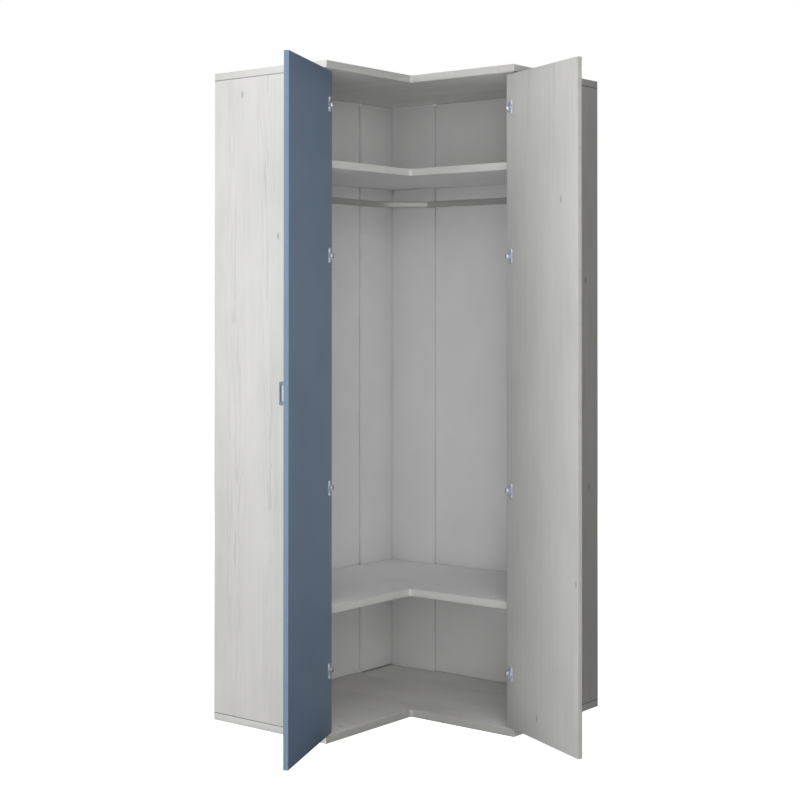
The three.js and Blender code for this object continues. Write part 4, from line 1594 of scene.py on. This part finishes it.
@dataclass
class Studio:
    """Pale floor, soft light and a camera at the photo's view. Picture places are pixels of 800."""

    picture: float = 800.0
    focal_pixels: float = 1590.2
    axis_pixel: tuple[float, float] = (463.56, 294.67)
    eye: tuple[float, float, float] = (3.952, -4.757, 1.395)
    heading: tuple[float, float] = (-0.6036, 0.7973)
    rise: float = math.radians(0.537)
    sensor: float = 36.0
    sky: float = 0.02
    floor_glow: float = 1.0
    ring: float = 6.0
    ring_box: float = 3.5
    middle: tuple[float, float, float] = (0.5, -0.5, 1.1)
    # Softboxes of the ring: degrees from -Y towards +X, degrees above the level, and power in watts.
    ring_lights: tuple[tuple[float, float, float], ...] = (
        (-30, 3, 100), (-30, 35, 85), (20, -25, 50), (30, 3, 57), (50, 3, 105), (-135, 20, 90),
    )
    high_place: tuple[float, float, float] = (2.6, -2.9, 3.0)
    high_aim: tuple[float, float, float] = (0.4, -0.4, 1.0)
    high_box: float = 2.0
    high_power: float = 24.0

    def build(self) -> None:
        """Builds the camera, the floor, the lights and the sky."""
        self.camera()
        self.floor()
        for number, (degrees, rise, power) in enumerate(self.ring_lights, 1):
            turn = Euler((-math.radians(rise), 0, math.radians(degrees)), "XYZ").to_matrix()
            place = Vector(self.middle) + turn @ Vector((0, -self.ring, 0))
            self.light(f"ring_softbox_{number}", place, self.middle, self.ring_box, power)
        self.light("high_softbox", self.high_place, self.high_aim, self.high_box, self.high_power)
        self.air()
        view = bpy.context.scene.view_settings
        view.view_transform = "Standard"

    def camera(self) -> None:
        """Sets the camera where the photo was taken from."""
        data = bpy.data.cameras.new("photo_camera")
        data.sensor_width = self.sensor
        data.lens = self.focal_pixels / self.picture * self.sensor
        data.shift_x = (self.picture / 2 - self.axis_pixel[0]) / self.picture
        data.shift_y = (self.axis_pixel[1] - self.picture / 2) / self.picture
        data.clip_end = 200.0
        camera = bpy.data.objects.new("photo_camera", data)
        bpy.context.collection.objects.link(camera)
        level = Vector((*self.heading, 0)).normalized()
        forward = level * math.cos(self.rise) + UP * math.sin(self.rise)
        camera.location = self.eye
        camera.rotation_mode = "QUATERNION"
        camera.rotation_quaternion = forward.to_track_quat("-Z", "Y")
        bpy.context.scene.camera = camera

    def floor(self) -> None:
        """Lays the pale floor."""
        deselect_all()
        bpy.ops.mesh.primitive_plane_add(size=60, location=(0, 0, -0.2 * MM))
        floor = bpy.context.object
        floor.name = "floor"
        material, tree, shader = new_material("pale_floor")
        place = add_node(tree, "ShaderNodeTexCoord").outputs["Object"]
        cast = add_node(tree, "ShaderNodeTexNoise", {"Vector": place, "Scale": 1.5}).outputs["Fac"]
        colour = add_node(
            tree, "ShaderNodeValToRGB", {"Fac": cast}, stops=[(0.3, "D8D8D8"), (0.7, "DCDCDC")],
        ).outputs["Color"]
        tree.links.new(colour, shader.inputs["Base Color"])
        shader.inputs["Roughness"].default_value = 0.8
        shader.inputs["Emission Color"].default_value = (1, 1, 1, 1)
        shader.inputs["Emission Strength"].default_value = self.floor_glow
        floor.data.materials.append(material)
        # The floor throws no light back on the wardrobe, whose foot is darker than its head in the photo,
        # and lets the light of the low softbox through.
        floor.visible_diffuse = False
        floor.visible_glossy = False
        floor.visible_shadow = False

    def light(
        self, name: str, place: Sequence[float], aim: Sequence[float], size: float, power: float,
    ) -> None:
        """Hangs one square softbox.

        Args:
            name: Name of the light.
            place: Its centre.
            aim: Point that it faces.
            size: Length of its sides.
            power: Power in watts.
        """
        data = bpy.data.lights.new(name, "AREA")
        data.shape = "SQUARE"
        data.size = size
        data.energy = power
        lamp = bpy.data.objects.new(name, data)
        bpy.context.collection.objects.link(lamp)
        lamp.location = place
        lamp.rotation_mode = "QUATERNION"
        lamp.rotation_quaternion = (Vector(aim) - Vector(place)).to_track_quat("-Z", "Y")
        lamp.visible_camera = False

    def air(self) -> None:
        """Sets a white surround for the eye and a dim one for the light that it gives."""
        world = bpy.data.worlds.new("white_surround")
        world.use_nodes = True
        tree = world.node_tree
        output = tree.nodes["World Output"]
        seen = add_node(tree, "ShaderNodeBackground", {"Color": (1, 1, 1, 1), "Strength": 1.0})
        given = add_node(tree, "ShaderNodeBackground", {"Color": (1, 1, 1, 1), "Strength": self.sky})
        ray = add_node(tree, "ShaderNodeLightPath").outputs["Is Camera Ray"]
        mixed = add_node(
            tree, "ShaderNodeMixShader", {0: ray, 1: given.outputs[0], 2: seen.outputs[0]},
        ).outputs[0]
        tree.links.new(mixed, output.inputs["Surface"])
        bpy.context.scene.world = world


def hinge_parts(doorway: Doorway, palette: Palette) -> dict[str, bpy.types.Object]:
    """Models one of each hinge part, from the frame's pivots on one wing.

    Args:
        doorway: Wing that the pivots are read from.
        palette: Materials.

    Returns:
        The four parts by name.
    """
    panel_low, panel_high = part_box(f"{doorway.side.value}_side_panel")
    panel = min(panel_high.x - panel_low.x, panel_high.y - panel_low.y)
    joints = {joint["name"]: Vector(joint["pos_m"]) for joint in frame["joints"]}
    arm_pivot = doorway.panel_place(0).inverted() @ joints[f"{doorway.side.value}_link_turn"]
    cup_pin = doorway.door_place(0).inverted() @ joints[f"{doorway.side.value}_door_swing"]
    arm_pivot.z = cup_pin.z = 0
    made = HingeParts(
        palette=palette, panel=panel, overlay=panel - doorway.door_gap, arm_pivot=arm_pivot,
        cup_pin=cup_pin, turn=doorway.link_turn,
    )
    return {"cup": made.cup(), "plate": made.plate(), "arm": made.arm(), "link": made.link()}


def main() -> None:
    """Builds the studio and every piece of the wardrobe in order."""
    logging.basicConfig(level=logging.INFO, format="%(name)s: %(message)s")
    Studio().build()
    palette = Palette.mixed()
    Carcass(palette).build()
    ClothesRail(palette).build()
    doorways = [Doorway(side, palette) for side in Side]
    parts = hinge_parts(doorways[1], palette)
    for doorway in doorways:
        doorway.build(parts)
    for part in parts.values():
        bpy.data.objects.remove(part)


if __name__ == "__main__":
    main()
